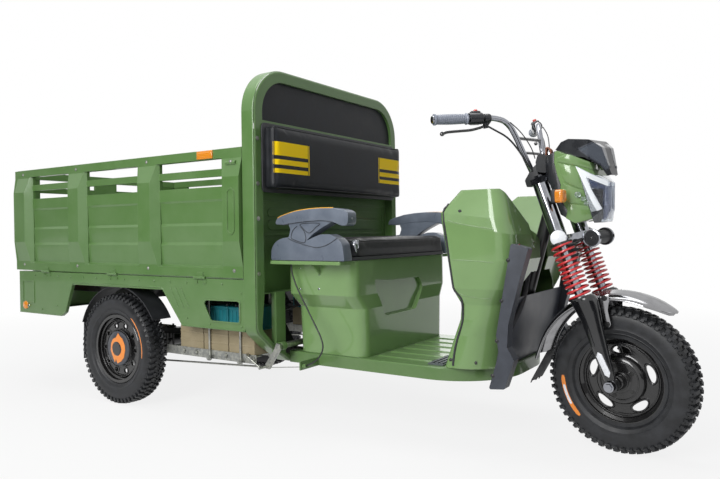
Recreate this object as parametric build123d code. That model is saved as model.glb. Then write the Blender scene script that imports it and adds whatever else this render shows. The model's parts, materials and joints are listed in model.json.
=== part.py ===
from build123d import *
import os
from math import asin, cos, degrees, radians, sin, tan

# Electric cargo tricycle. While it is modelled, x runs forward from the rear axle, y to the
# rider's left and z up from the ground. save() then moves each piece so that the origin is
# on the ground under the middle of the vehicle. All sizes are in millimetres.

# ---- wheels
wheelbase = 2165.0
tyre_radius = 262.0
tyre_width = 98.0
bead_radius = 152.0           # where the tyre sits on the rim
flange_radius = 163.0
rim_width = 74.0
rim_wall = 4.0
well_depth = 14.0
track = 1002.0                # between the middles of the rear tyres
drum_radius = 84.0

# ---- cargo box
box_length = 1645.0
box_width = 1100.0            # over the rails of the drop sides
box_overhang = 812.0          # from the rear axle back to the end of the drop sides
side_height = 530.0
side_thickness = 30.0
top_rail = 38.0
bottom_rail = 40.0
slat_height = 31.0
slat_gap = 42.0               # open gap above and below the slat
sheet_wall = 3.0
pillar_proud = 20.0
pillar_width = 84.0
end_pillar_width = 92.0
pillar_bevel = 32.0
side_pillars = [526.0, 1062.0]
side_hinges = [260.0, 810.0, 1400.0]
tailgate_gap = 5.0
hinge_height = 617.0
hinge_radius = 6.0
hinge_pin_radius = 3.0
hinge_gap = 3.0               # between a drop side and the skirt below it
knuckle_length = 34.0
floor_top = 612.0
floor_rib = 9.0

# ---- skirts below the box
skirt_wall = 3.0
skirt_lip = 12.0              # folded edge of the skirt
skirt_bottom = 392.0
skirt_front_bottom = 404.0
arch_top = 556.0
liner_radius = 298.0
liner_inner = 430.0           # from the middle of the vehicle to the liner's inner edge

# ---- headboard
headboard_gap = 5.0
headboard_depth = 66.0
headboard_top = 1476.0
headboard_corner = 187.0
headboard_border = 50.0
headboard_wall = 3.0
crossbar_height = 1256.0
crossbar_depth = 34.0
apron_bottom = 556.0          # lower edge of the sheet behind the seat
apron_recess = 42.0
backrest_thickness = 58.0
backrest_bottom = 974.0
backrest_top = 1238.0
post_depth = 25.0
post_middle = 412.0

# ---- rider's place
foot_floor_top = 306.0
foot_floor_depth = 48.0
foot_floor_width = 700.0
foot_floor_wall = 3.0
foot_floor_corner = 270.0
nose_reach = 345.0            # from the front axle back to the front of the foot floor
seat_width = 800.0
seat_foot_width = 700.0
seat_length = 346.0           # of the seat base, along the vehicle
seat_corner = 46.0
seat_base_top = 690.0
seat_step_low = 497.0
seat_step_high = 552.0
seat_wall = 4.0
ledge_width = 68.0            # carries the armrest beside the seat
ledge_thickness = 14.0
lid_thickness = 14.0
lid_gap = 1.0
cushion_thickness = 72.0
cushion_inset = 4.0
seat_hinge_height = 698.0

# ---- front cover
shield_wall = 4.0
guard_outer = 350.0
guard_inner = 304.0

# ---- steering
head_height = 900.0           # a point on the steering axis
rake = 19.0                   # degrees from upright
steer_at_rest = -8.0          # parked with the wheel turned a little to the right
steer_swing = 38.0            # to each side of straight ahead
fork_clearance = 6.0          # from the fork to the leg shield at full lock
yoke_corner_radius = 34.5     # from a fork tube's middle to the corners of the lower yoke
fork_offset = 44.0            # from the steering axis forward to the fork tubes
fork_spacing = 211.0
fork_tube_radius = 16.0
fork_cover_radius = 28.0
fork_leg_radius = 25.0
stem_radius = 13.0
head_tube_radius = 27.0
head_tube_top = 60.0          # along the steering axis from head_height
head_tube_bottom = -131.0
upper_crown = (64.0, 86.0)    # lower and upper face, along the steering axis
lower_yoke = (-165.0, -135.0)
bar_radius = 11.0
grip_radius = 17.0
grip_length = 128.0
bar_path = [(6, 0, 100), (6, -45, 100), (14, -112, 295), (0, -168, 345), (-127, -387, 381)]
spring_top = -168.0
spring_bottom = -369.0
spring_radius = 32.0          # to the middle of the wire
spring_wire = 4.5
spring_turns = 11
fender_gap = 60.0             # from the tyre to the crown of the fender
fender_half = 66.0
fender_wall = 2.0
fender_front = 53.0           # degrees round the wheel from straight ahead
fender_rear = 160.0
fender_tail = 56.0

# ---- frame
rail_middle = 260.0
rail_width = 50.0
rail_height = 60.0
cross_size = 50.0
weld_gap = 0.3                # between members that are welded edge to edge
neck_radius = 24.0

# ---- batteries
battery_rear = 380.0
battery_count = 3
battery_length = 144.0
battery_space = 6.0
battery_width = 172.0
battery_height = 196.0
battery_foot = 294.0
battery_outer = 480.0
hanger_places = [570.0, 752.0]
hanger_radius = 5.0
angle_size = 30.0
angle_wall = 3.0

# ---- parking brake
brake_shaft_height = 338.0
brake_shaft_radius = 12.5
brake_arm_drop = 92.0
brake_arm_y = 452.0
cable_radius = 3.0

# ---- clearances
shaft_gap = 0.3               # round a turning shaft or pin
seat_gap = 0.3                # between faces that meet
axle_radius = 7.5
half_shaft_radius = 14.0

# ---- worked out from the above
half_box = box_width / 2
box_rear = -box_overhang
box_front = box_rear + box_length
side_bottom = hinge_height + hinge_gap
side_top = side_bottom + side_height
tail_length = box_width - 10.0
tail_pillars = [tail_length / 2]
tail_hinges = [180.0, tail_length - 180.0]
tailgate_face = box_rear - tailgate_gap - side_thickness
half_valance = half_box - side_thickness - 2
frame_top = floor_top - floor_rib - sheet_wall
rail_top = frame_top - cross_size
headboard_back = box_front + headboard_gap
headboard_front = headboard_back + headboard_depth
half_board = half_box + 3
foot_floor_front = wheelbase - nose_reach
foot_floor_bottom = foot_floor_top - foot_floor_depth
half_foot = foot_floor_width / 2
seat_back = headboard_front + 22
seat_front = seat_back + seat_length
half_seat = seat_width / 2
half_seat_foot = seat_foot_width / 2
lid_bottom = seat_base_top + lid_gap
lid_top = seat_base_top + lid_thickness
seat_hinge_x = seat_back + 10
cover_rear = foot_floor_front - 220
brake_shaft_x = headboard_front + 21
vehicle_rear = tailgate_face - pillar_proud
vehicle_front = wheelbase + tyre_radius
origin_shift = -(vehicle_front + vehicle_rear) / 2
rake_rad = radians(rake)
head_x = wheelbase - fork_offset / cos(rake_rad) - (head_height - tyre_radius) * tan(rake_rad)
fork_frame = Pos(head_x, 0, head_height) * Rot(0, -rake, 0)
steering_axis = Axis((head_x, 0, head_height), (-sin(rake_rad), 0, cos(rake_rad)))
axle_drop = (head_height - tyre_radius + fork_offset * sin(rake_rad)) / cos(rake_rad)
half_fork = fork_spacing / 2
to_right_side = Pos(box_rear, -half_box, side_bottom)
to_tail = Pos(tailgate_face, tail_length / 2, side_bottom) * Rot(0, 0, -90)
to_lamp = Pos(head_x, 0, head_height)
low_rail_foot = foot_floor_bottom + 4
low_rail_top = foot_floor_top - foot_floor_wall - seat_gap
rail_bend = box_front - 143
skirt_front = headboard_back - seat_gap
apron_front = headboard_front - apron_recess


# ---------------------------------------------------------------- helpers

def save(name, shape):
    """Write one node, moved so that the origin is under the middle of the vehicle."""
    solids = shape.solids()
    body = solids[0] if len(solids) == 1 else Compound(solids)
    export_step(Pos(origin_shift, 0, 0) * body, f"parts/{name}.step")


def steered(shape):
    """Turn a piece of the steering from straight ahead to where it is parked."""
    return shape.rotate(steering_axis, steer_at_rest)


def outline(points, radii=None):
    """Closed outline of straight runs, with radii from a corner's number to its rounding."""
    face = make_face(Polyline(*points, close=True))
    for number, radius in (radii or {}).items():
        corner = face.vertices().sort_by_distance(Vector(*points[number]))[0]
        face = fillet(corner, radius)
    return face


def side_view(points, y_from, y_to, radii=None):
    """Prism whose outline lies in x and z, between two values of y."""
    low, high = min(y_from, y_to), max(y_from, y_to)
    plane = Plane(origin=(0, high, 0), x_dir=(1, 0, 0), z_dir=(0, -1, 0))
    return extrude(plane * outline(points, radii), amount=high - low)


def end_view(points, x_from, x_to, radii=None):
    """Prism whose outline lies in y and z, between two values of x."""
    low, high = min(x_from, x_to), max(x_from, x_to)
    plane = Plane(origin=(low, 0, 0), x_dir=(0, 1, 0), z_dir=(1, 0, 0))
    return extrude(plane * outline(points, radii), amount=high - low)


def plan_view(points, z_from, z_to, radii=None):
    """Prism whose outline lies in x and y, between two heights."""
    return Pos(0, 0, min(z_from, z_to)) * extrude(outline(points, radii), amount=abs(z_to - z_from))


def block(x_from, x_to, y_from, y_to, z_from, z_to):
    """Box between two corners."""
    size = (abs(x_to - x_from), abs(y_to - y_from), abs(z_to - z_from))
    return Pos((x_from + x_to) / 2, (y_from + y_to) / 2, (z_from + z_to) / 2) * Box(*size)


def rod(start, end, radius, bore=0.0):
    """Round bar or tube between two points."""
    start, end = Vector(*start), Vector(*end)
    section = Circle(radius)
    if bore:
        section -= Circle(bore)
    return extrude(Plane(origin=start, z_dir=end - start) * section, amount=(end - start).length)


def tube_along(points, radii, radius):
    """Round bar along straight runs joined by arcs, one radius for each corner."""
    path = FilletPolyline(*points, radius=radii)
    return sweep(Plane(origin=path @ 0, z_dir=path % 0) * Circle(radius), path=path)


def lathe_y(profile):
    """Turn an outline of (radius, y) points about the y axis."""
    return revolve(make_face(Polyline(*profile, close=True)), Axis.Y)


def stadium(x, y_from, y_to, z, height, proud):
    """Raised rib with round ends, across the vehicle on a face that looks forward."""
    plane = Plane(origin=(x, (y_from + y_to) / 2, z), x_dir=(0, 1, 0), z_dir=(1, 0, 0))
    return extrude(plane * SlotOverall(abs(y_to - y_from), height), amount=proud)


def both_sides(shape):
    """A piece and its mirror image on the other side of the vehicle, as one shape."""
    return Compound([*shape.solids(), *mirror(shape, about=Plane.XZ).solids()])


# ---------------------------------------------------------------- wheels

def tyre():
    """Tyre about the y axis, seated between the rim's flanges."""
    half = tyre_width / 2
    inner = rim_width / 2 - rim_wall - seat_gap
    right = [
        (bead_radius + seat_gap, inner),
        (flange_radius + 5, inner),
        (flange_radius + 22, half - 7),
        (tyre_radius - 52, half),
        (tyre_radius - 26, half - 2),
        (tyre_radius - 9, half - 12),
        (tyre_radius, half - 32),
    ]
    return lathe_y(right + [(radius, -y) for radius, y in reversed(right)])


def rim(dish, holes, hole_circle, hole_long, hole_short):
    """Pressed steel rim about the y axis, with its disc at y = dish."""
    half = rim_width / 2
    well = bead_radius - well_depth
    inner = bead_radius - rim_wall
    barrel = lathe_y([
        (inner, -half), (flange_radius - 2, -half), (flange_radius, -half + 1.5),
        (flange_radius, -half + rim_wall - 1), (flange_radius - 1, -half + rim_wall),
        (bead_radius, -half + rim_wall), (bead_radius, -half + 19), (well, -half + 27),
        (well, half - 27), (bead_radius, half - 19), (bead_radius, half - rim_wall),
        (flange_radius - 1, half - rim_wall), (flange_radius, half - rim_wall + 1),
        (flange_radius, half - 1.5), (flange_radius - 2, half), (inner, half),
        (inner, half - 17), (well - rim_wall, half - 25),
        (well - rim_wall, -half + 25), (inner, -half + 17),
    ])
    edge = well - 1
    outer_face = [
        (30, dish + 12), (58, dish + 12), (63, dish + 9), (84, dish + 1), (90, dish),
        (124, dish), (129, dish - 2), (edge, dish - 12),
    ]
    inner_face = [(radius, y - rim_wall) for radius, y in reversed(outer_face)]
    disc = lathe_y(outer_face + inner_face)
    lip = Ellipse(hole_short + 5, hole_long + 5)
    lip_prism = Pos(0, dish + 3, 0) * Rot(90, 0, 0) * extrude(lip, amount=rim_wall + 6)
    slot = Rot(90, 0, 0) * extrude(Ellipse(hole_short, hole_long), amount=2 * rim_width, both=True)
    for i in range(holes):
        disc += Rot(0, 360 / holes * i, 0) * Pos(hole_circle, 0, 0) * lip_prism
    for i in range(holes):
        disc -= Rot(0, 360 / holes * i, 0) * Pos(hole_circle, 0, 0) * slot
    return barrel + disc


def front_rim():
    """Front rim with its hub and brake drum."""
    half_hub = half_fork - fork_leg_radius - 3
    hub = rod((0, -half_hub, 0), (0, half_hub, 0), 27)
    wide = drum_radius
    drum = lathe_y([
        (0, -34), (wide - 10, -34), (wide - 6, -30), (wide - 6, -20), (wide - 1, -20), (wide, -18),
        (wide, -10), (wide - 3, -8), (wide - 3, -4), (wide, -2), (wide, 22), (0, 22),
    ])
    disc = rim(4, 5, 110, 20, 13)
    return disc + hub + drum - rod((0, -200, 0), (0, 200, 0), axle_radius + shaft_gap)


def rear_rim():
    """Rear rim (for the left side) with its drum, cap, wheel nuts and half shaft."""
    wide = drum_radius + 8
    drum = lathe_y([(0, -46), (wide - 6, -46), (wide, -40), (wide, 8), (wide - 6, 10), (0, 10)])
    cap = lathe_y([(0, 10), (40, 10), (40, 32), (36, 38), (28, 42), (0, 42)])
    shape = rim(14, 10, 110, 12, 12) + drum + cap
    for i in range(5):
        shape += Rot(0, 72 * i, 0) * rod((52, 20, 0), (52, 36, 0), 8)
    return shape + rod((0, -150, 0), (0, 0, 0), half_shaft_radius)


def save_wheels():
    """Three wheels, each a tyre on a rim."""
    to_front = Pos(wheelbase, 0, tyre_radius)
    save("front_tyre", steered(to_front * tyre()))
    save("front_rim", steered(to_front * front_rim()))
    to_left = Pos(0, track / 2, tyre_radius)
    for name, shape in (("tyre", tyre()), ("rim", rear_rim())):
        left = to_left * shape
        save(f"rear_{name}_left", left)
        save(f"rear_{name}_right", mirror(left, about=Plane.XZ))


# ---------------------------------------------------------------- drop sides

def pillar(x_from, x_to, bevel_from, bevel_to):
    """Pressed pillar: proud of the rails in the middle, running down into them at both ends."""
    back = side_thickness - sheet_wall
    plan = plan_view([
        (x_from - bevel_from, back), (x_to + bevel_to, back),
        (x_to + bevel_to, 12), (x_to, -pillar_proud),
        (x_from, -pillar_proud), (x_from - bevel_from, 12),
    ], 0, side_height)
    profile = end_view([
        (side_thickness, 4), (0, 4), (0, bottom_rail + 8), (-pillar_proud, bottom_rail + 110),
        (-pillar_proud, side_height - 118), (0, side_height - top_rail - 4),
        (0, side_height - 4), (side_thickness, side_height - 4),
    ], x_from - bevel_from, x_to + bevel_to)
    return plan & profile


def pressed_sheet(length):
    """Lower sheet of a drop side, pressed into three steps, each leaning out at its top."""
    top = side_height - top_rail - 2 * slat_gap - slat_height
    steps = [bottom_rail, bottom_rail + 98, bottom_rail + 180, top - 56]
    face = [(4, bottom_rail - 2)]
    for low, high in zip(steps[:-1], steps[1:]):
        face += [(20, low + 8), (14, high - 4)]
    face += [(10, top - 52), (10, top)]
    back = [(y + sheet_wall, z) for y, z in reversed(face)]
    return end_view([*face, (24, top), (24, top - 12), (21, top - 12), (21, top - sheet_wall),
                     *back[1:]], 2, length - 2)


def drop_side(length, pillars, hinges):
    """Drop side along x from 0, its outer face on y = 0 facing -y and its foot on z = 0."""
    shape = block(0, length, 0, side_thickness, 0, bottom_rail)
    shape += block(0, length, 0, side_thickness, side_height - top_rail, side_height)
    shape += pressed_sheet(length)
    slat_foot = side_height - top_rail - slat_gap - slat_height
    shape += block(2, length - 2, 10, 22, slat_foot, slat_foot + slat_height)
    width = end_pillar_width
    shape += pillar(0, width, 0, pillar_bevel)
    shape += pillar(length - width, length, pillar_bevel, 0)
    for middle in pillars:
        half = pillar_width / 2
        shape += pillar(middle - half, middle + half, pillar_bevel, pillar_bevel)
    for middle in hinges:
        shape += knuckle(middle, moving=True)
    return shape


def knuckle(middle, moving):
    """Hinge part on the drop side's outer foot: the moving barrel with its pin, or the fixed ears."""
    axis_y, axis_z = -hinge_radius, -hinge_gap
    half = knuckle_length / 2
    if moving:
        barrel = rod((middle - half, axis_y, axis_z), (middle + half, axis_y, axis_z), hinge_radius)
        pin = rod((middle - 2 * half, axis_y, axis_z), (middle + 2 * half, axis_y, axis_z),
                  hinge_pin_radius)
        leaf = block(middle - half, middle + half, -sheet_wall, 0, axis_z, 20)
        return barrel + pin + leaf
    ears = None
    for low, high in ((middle - 2 * half, middle - half - 1), (middle + half + 1, middle + 2 * half)):
        ear = rod((low, axis_y, axis_z), (high, axis_y, axis_z), hinge_radius)
        ear += block(low, high, -sheet_wall, 0, axis_z - 24, axis_z)
        ear -= rod((low - 1, axis_y, axis_z), (high + 1, axis_y, axis_z),
                   hinge_pin_radius + shaft_gap)
        ears = ear if ears is None else ears + ear
    return ears


def side_panel():
    """Right drop side with the raised rib and the spring latch on its front pillar."""
    side = to_right_side * drop_side(box_length, side_pillars, side_hinges)
    middle = box_front - end_pillar_width / 2
    face = -half_box - pillar_proud
    ring = SlotOverall(190, 46) - SlotOverall(174, 30)
    plane = Plane(origin=(middle, face + 1, side_bottom + 272), x_dir=(0, 0, 1), z_dir=(0, -1, 0))
    side += extrude(plane * ring, amount=4)
    side += rod((middle - 34, face + 15, side_top - 62), (middle + 20, face + 15, side_top - 62), 9)
    side += rod((middle - 16, face + 6, side_top - 62), (middle - 16, face + 15, side_top - 62), 4)
    return side


def save_drop_sides():
    """The two drop sides and the tailgate."""
    right = side_panel()
    save("side_panel_right", right)
    save("side_panel_left", mirror(right, about=Plane.XZ))
    save("tailgate", to_tail * drop_side(tail_length, tail_pillars, tail_hinges))


# ---------------------------------------------------------------- cargo base

def cargo_floor():
    """Ribbed sheet floor with a rear valance below the tailgate and tabs to the headboard."""
    pitch = 2 * half_valance / 8
    low = floor_top - floor_rib
    top = [(-half_valance, low)]
    for i in range(8):
        start = -half_valance + i * pitch
        top += [(start + 30, low), (start + 42, floor_top),
                (start + pitch - 42, floor_top), (start + pitch - 30, low)]
    top += [(half_valance, low)]
    bottom = [(y, z - sheet_wall) for y, z in reversed(top)]
    floor = end_view(top + bottom, box_rear, box_front)
    for middle in (-380, 0, 380):
        floor += block(box_front - 20, apron_front - headboard_wall - seat_gap, middle - 40, middle + 40,
                       low - sheet_wall, low)
    flange = block(box_rear, box_front, half_valance - sheet_wall, half_valance, low - 18, low)
    floor += both_sides(flange)
    valance = block(box_rear - sheet_wall, box_rear, -half_valance, half_valance, skirt_bottom, low)
    valance += block(box_rear, box_rear + 22, -half_valance, half_valance,
                     skirt_bottom, skirt_bottom + sheet_wall)
    lamp = block(box_rear - 9, box_rear + 9, half_valance - 185, half_valance - 45, 500, 560)
    for middle in tail_hinges:
        ears = to_tail * knuckle(middle, moving=False)
        leaf = ears.bounding_box()
        valance += ears + block(leaf.max.X - 1, box_rear, leaf.min.Y, leaf.max.Y, 590, 594)
    return floor + valance - both_sides(lamp)


def tail_lamps():
    """Rectangular rear lamps let into the valance."""
    lamp = block(box_rear - 12, box_rear + 8, half_valance - 184.7, half_valance - 45.3, 500.3, 559.7)
    return both_sides(fillet(lamp.edges().group_by(Axis.X)[0], 4))


def window_outline(grow):
    """Corners of the window in the skirt, moved out by a distance."""
    return [
        (600 - 2 * grow, 522 + grow), (812 + grow, 526 + grow),
        (812 + grow, 440 - grow), (648 - grow, 440 - grow),
    ]


def skirt():
    """Pressed skirt on the right, with the wheel arch, a window and a folded top."""
    top = hinge_height - hinge_gap
    edge = [
        (box_rear, top), (box_rear, skirt_bottom), (-428, skirt_bottom), (-393, skirt_bottom + 20),
        (-330, arch_top), (348, arch_top), (470, skirt_front_bottom),
        (skirt_front, skirt_front_bottom), (skirt_front, top),
    ]
    inside = [
        (box_rear - 1, top + 1), (box_rear - 1, skirt_bottom + sheet_wall),
        (-430, skirt_bottom + sheet_wall),
        (-396, skirt_bottom + 24), (-333, arch_top + sheet_wall), (350, arch_top + sheet_wall),
        (472, skirt_front_bottom + sheet_wall), (skirt_front + 1, skirt_front_bottom + sheet_wall),
        (skirt_front + 1, top + 1),
    ]
    rounded = {2: 12, 3: 16, 4: 10, 5: 10, 6: 12}
    outer = -half_box
    sheet = side_view(edge, outer, outer + skirt_lip + skirt_wall, rounded)
    sheet -= side_view(inside, outer + skirt_wall, outer + 40, rounded)
    fold_edge = -half_valance - seat_gap
    fold = block(box_rear, skirt_front, outer, fold_edge, top - skirt_wall, top)
    fold += block(box_rear, skirt_front, fold_edge - skirt_wall, fold_edge, top - 22, top)
    rounded_window = {0: 14, 1: 14, 2: 14, 3: 14}
    collar = side_view(window_outline(6), outer - 3, outer + skirt_wall, rounded_window)
    window = side_view(window_outline(0), outer - 9, outer + 40, rounded_window)
    shape = sheet + fold + collar - window
    frame = side_view([(-782, 566), (-670, 566), (-670, 446), (-782, 446)], outer - 3, outer + 1)
    frame -= side_view([(-775, 559), (-677, 559), (-677, 453), (-775, 453)], outer - 9, outer + 1)
    shape += frame
    for x in (390, 424, 458):
        rib = side_view([(x, 570), (x + 9, 570), (x + 59, 486), (x + 50, 486)], outer - 2.5, outer + 1)
        shape += rib
    for middle in side_hinges:
        shape += to_right_side * knuckle(middle, moving=False)
    return shape


def arch_liner():
    """Inner wheel arch on the right, round over the tyre, with its mudflap."""
    outer, inner = -half_box + skirt_lip + skirt_wall + seat_gap, -liner_inner
    wall = 4
    start, finish = (-280, 372), (266, 420)
    arcs = []
    for radius in (liner_radius, liner_radius - wall):
        ends = []
        for x, z in (start, finish):
            reach = (x ** 2 + (z - tyre_radius) ** 2) ** 0.5
            ends.append((x * radius / reach, tyre_radius + (z - tyre_radius) * radius / reach))
        arcs.append(ThreePointArc(ends[0], (0, tyre_radius + radius), ends[1]))
    face = make_face([arcs[0], arcs[1], Line(arcs[0] @ 0, arcs[1] @ 0), Line(arcs[0] @ 1, arcs[1] @ 1)])
    plane = Plane(origin=(0, inner, 0), x_dir=(1, 0, 0), z_dir=(0, -1, 0))
    tub = extrude(plane * face, amount=inner - outer)
    foot = arcs[0] @ 0
    flap = side_view([
        (foot.X - 1, foot.Y + 20), (foot.X - 8, foot.Y - 184), (foot.X - 3, foot.Y - 184),
        (foot.X + 5, foot.Y + 12),
    ], outer + 10, inner)
    crown = tyre_radius + liner_radius
    tab = block(-24, 24, inner - wall, inner, crown - wall, crown + 34)
    return tub + flap + tab


def save_cargo_base():
    """Floor, skirts, inner arches and lamps."""
    save("cargo_floor", cargo_floor())
    save("tail_lamps", tail_lamps())
    save("skirts", both_sides(skirt()))
    save("arch_liners", both_sides(arch_liner()))


# ---------------------------------------------------------------- frame and running gear

def neck(radius):
    """Bar from the front of the frame up to the head tube."""
    head = (fork_frame * Pos(0, 0, -20)).position
    return rod((foot_floor_front - 80, 0, low_rail_foot + 14), tuple(head), radius)


def main_frame():
    """Ladder frame with its dropped front half, the neck and the head tube."""
    rail_y, half = rail_middle, rail_width / 2
    rail_foot = rail_top - rail_height
    low_start = headboard_back + 12
    low_end = foot_floor_front - 112
    members = [
        block(box_rear + 14, rail_bend, rail_y - half, rail_y + half, rail_foot, rail_top),
        side_view([
            (rail_bend + weld_gap, rail_foot), (rail_bend + weld_gap, rail_top),
            (low_start - weld_gap, low_rail_top), (low_start - weld_gap, low_rail_foot),
        ], rail_y - half, rail_y + half),
        block(low_start, low_end, rail_y - half, rail_y + half, low_rail_foot, low_rail_top),
    ]
    pieces = [*both_sides(Compound(members)).solids()]
    foot, top = rail_top + weld_gap, frame_top - seat_gap
    wide = half_valance - sheet_wall - seat_gap
    for x, reach in ((box_rear + 40, wide), (-395, wide), (0, liner_inner - seat_gap), (300, 420),
                     (hanger_places[0], wide), (hanger_places[1], wide)):
        pieces.append(block(x - 25, x + 25, -reach, reach, foot, top))
    between = rail_y - half - weld_gap
    for x in (headboard_front + 96, headboard_front + 350, headboard_front + 600):
        pieces.append(block(x - 25, x + 25, -between, between, low_rail_foot, low_rail_top))
    head_tube = rod(tuple((fork_frame * Pos(0, 0, head_tube_bottom)).position),
                    tuple((fork_frame * Pos(0, 0, head_tube_top)).position), head_tube_radius)
    front = block(low_end - 24, foot_floor_front - 68, -between, between, low_rail_foot, low_rail_top)
    front += neck(neck_radius) + head_tube
    front -= rod(tuple((fork_frame * Pos(0, 0, head_tube_bottom - 60)).position),
                 tuple((fork_frame * Pos(0, 0, head_tube_top + 60)).position), stem_radius + shaft_gap)
    return Compound([*pieces, *front.solids()])


def rear_axle():
    """Axle tube with the gear case, motor and brake back plates."""
    half_tube = track / 2 - rim_width / 2 - 14
    axle = rod((0, -half_tube, tyre_radius), (0, half_tube, tyre_radius), 34)
    gear_case = Pos(0, 60, tyre_radius) * lathe_y([
        (0, -75), (60, -75), (98, -40), (98, 40), (60, 75), (0, 75)])
    fins = [(0, -90)]
    for i in range(5):
        y = -70 + 32 * i
        fins += [(84, y), (84, y + 22), (79, y + 22), (79, y + 32)]
    motor = Pos(150, 0, tyre_radius + 18) * lathe_y([*fins, (79, 110), (70, 130), (0, 130)])
    bridge = block(40, 110, -10, 120, tyre_radius - 50, tyre_radius + 70)
    plate = rod((0, half_tube - 6, tyre_radius), (0, half_tube, tyre_radius), drum_radius + 8)
    arm = side_view([
        (30, tyre_radius - 12), (54, tyre_radius + 2), (80, 206), (68, 192), (56, 198),
    ], half_tube - 14, half_tube - 5)
    arm -= rod((68, 0, 204), (68, half_tube, 204), 4.3)
    axle += gear_case + motor + bridge + both_sides(plate) + both_sides(arm)
    return axle - rod((0, -600, tyre_radius), (0, 600, tyre_radius), half_shaft_radius + shaft_gap)


def leaf(reach, radius, thickness, foot, y_from, y_to):
    """One leaf of a spring, bent up toward its ends."""
    rise = foot + radius
    outer, inner = radius, radius - thickness
    angle = asin(reach / radius)
    arcs = []
    for size in (outer, inner):
        end_x, end_z = size * sin(angle), rise - size * cos(angle)
        arcs.append(ThreePointArc((-end_x, end_z), (0, rise - size), (end_x, end_z)))
    face = make_face([*arcs, Line(arcs[0] @ 0, arcs[1] @ 0), Line(arcs[0] @ 1, arcs[1] @ 1)])
    plane = Plane(origin=(0, y_to, 0), x_dir=(1, 0, 0), z_dir=(0, -1, 0))
    return extrude(plane * face, amount=y_to - y_from)


def leaf_springs():
    """A leaf spring each side, clamped over the axle tube, hung from the rails at its eyes."""
    y_from, y_to = rail_middle - 28, rail_middle + 28
    foot, radius, pitch, reach = tyre_radius + 42, 1300.0, 7.0, 476.0
    lengths = [170, 270, 370, reach]
    pack = None
    for i, length in enumerate(lengths):
        piece = leaf(length, radius - i * pitch, pitch + 0.2, foot + i * pitch, y_from, y_to)
        pack = piece if pack is None else pack + piece
    pack_top = foot + len(lengths) * pitch
    eye_radius = radius - (len(lengths) - 1) * pitch - pitch / 2
    eye_z = foot + radius - (eye_radius ** 2 - reach ** 2) ** 0.5
    pack += block(-32, 32, y_from, y_to, tyre_radius + 12, foot + 1)
    pack += block(-60, 60, y_from, y_to, pack_top - 1, pack_top + 8)
    pack += block(-60, 60, y_from, y_to, tyre_radius - 50, tyre_radius - 41)
    for x in (-47, 47):
        for y in (y_from + 7, y_to - 7):
            pack += rod((x, y, tyre_radius - 56), (x, y, pack_top + 16), 5)
    pack -= rod((0, y_from - 10, tyre_radius), (0, y_to + 10, tyre_radius), 34 + seat_gap)
    hanger_top = rail_top - rail_height - seat_gap
    for x in (-reach, reach):
        pack += rod((x, y_from, eye_z + 4), (x, y_to, eye_z + 4), 14)
        for y in (y_from - 5, y_to):
            pack += side_view([
                (x - 16, eye_z - 8), (x + 16, eye_z - 8), (x + 22, hanger_top), (x - 22, hanger_top),
            ], y, y + 5)
        pack += block(x - 22, x + 22, y_from - 5, y_to + 5, hanger_top - 5, hanger_top)
    return both_sides(pack)


def battery_pack():
    """Batteries each side under the front of the box, with a groove below the lid of each."""
    pack = []
    outer, inner = -battery_outer, -battery_outer + battery_width
    groove_z = battery_foot + 0.55 * battery_height
    for i in range(battery_count):
        x = battery_rear + i * (battery_length + battery_space)
        end = x + battery_length
        cell = block(x, end, outer, inner, battery_foot, battery_foot + battery_height)
        cell = fillet(cell.edges().filter_by(Axis.Z), 5)
        ring = block(x - 1, end + 1, outer - 1, inner + 1, groove_z, groove_z + 4)
        ring -= block(x + 2, end - 2, outer + 2, inner - 2, groove_z - 1, groove_z + 5)
        pack += (cell - ring).solids()
    return both_sides(Compound(pack))


def battery_tray():
    """Steel angles and straps under the batteries, hung on threaded rods from the frame."""
    inner_y = -battery_outer + battery_width
    start, finish = battery_rear - 92, headboard_back - 2
    foot = battery_foot - seat_gap
    under = foot - angle_wall
    low = battery_foot - 32
    outer_face = -battery_outer - seat_gap
    tray = block(start, finish, outer_face - angle_wall, outer_face, low, foot + 6)
    tray += block(start, finish, outer_face - angle_wall, outer_face + angle_size, under, foot)
    inner_face = inner_y + seat_gap
    tray += block(start - 32, finish, inner_face, inner_face + angle_wall, low, foot + 6)
    tray += block(start - 32, finish, inner_face - angle_size, inner_face + angle_wall, under, foot)
    for i in range(battery_count):
        x = battery_rear + (i + 0.5) * battery_length + i * battery_space
        tray += block(x - 18, x + 18, outer_face - 1, inner_face + 1, under - 3, under + 1)
    tray += block(start + 2, start + 34, outer_face - 1, inner_face + 1, under - 3, under + 1)
    top = rail_top
    for x in hanger_places:
        for y in (outer_face - angle_wall - hanger_radius + 1, inner_face + angle_wall + hanger_radius - 1):
            tray += rod((x, y, low - 8), (x, y, top), hanger_radius)
            tray += rod((x, y, low - 4), (x, y, low + 4), hanger_radius + 4)
    return both_sides(tray)


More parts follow.
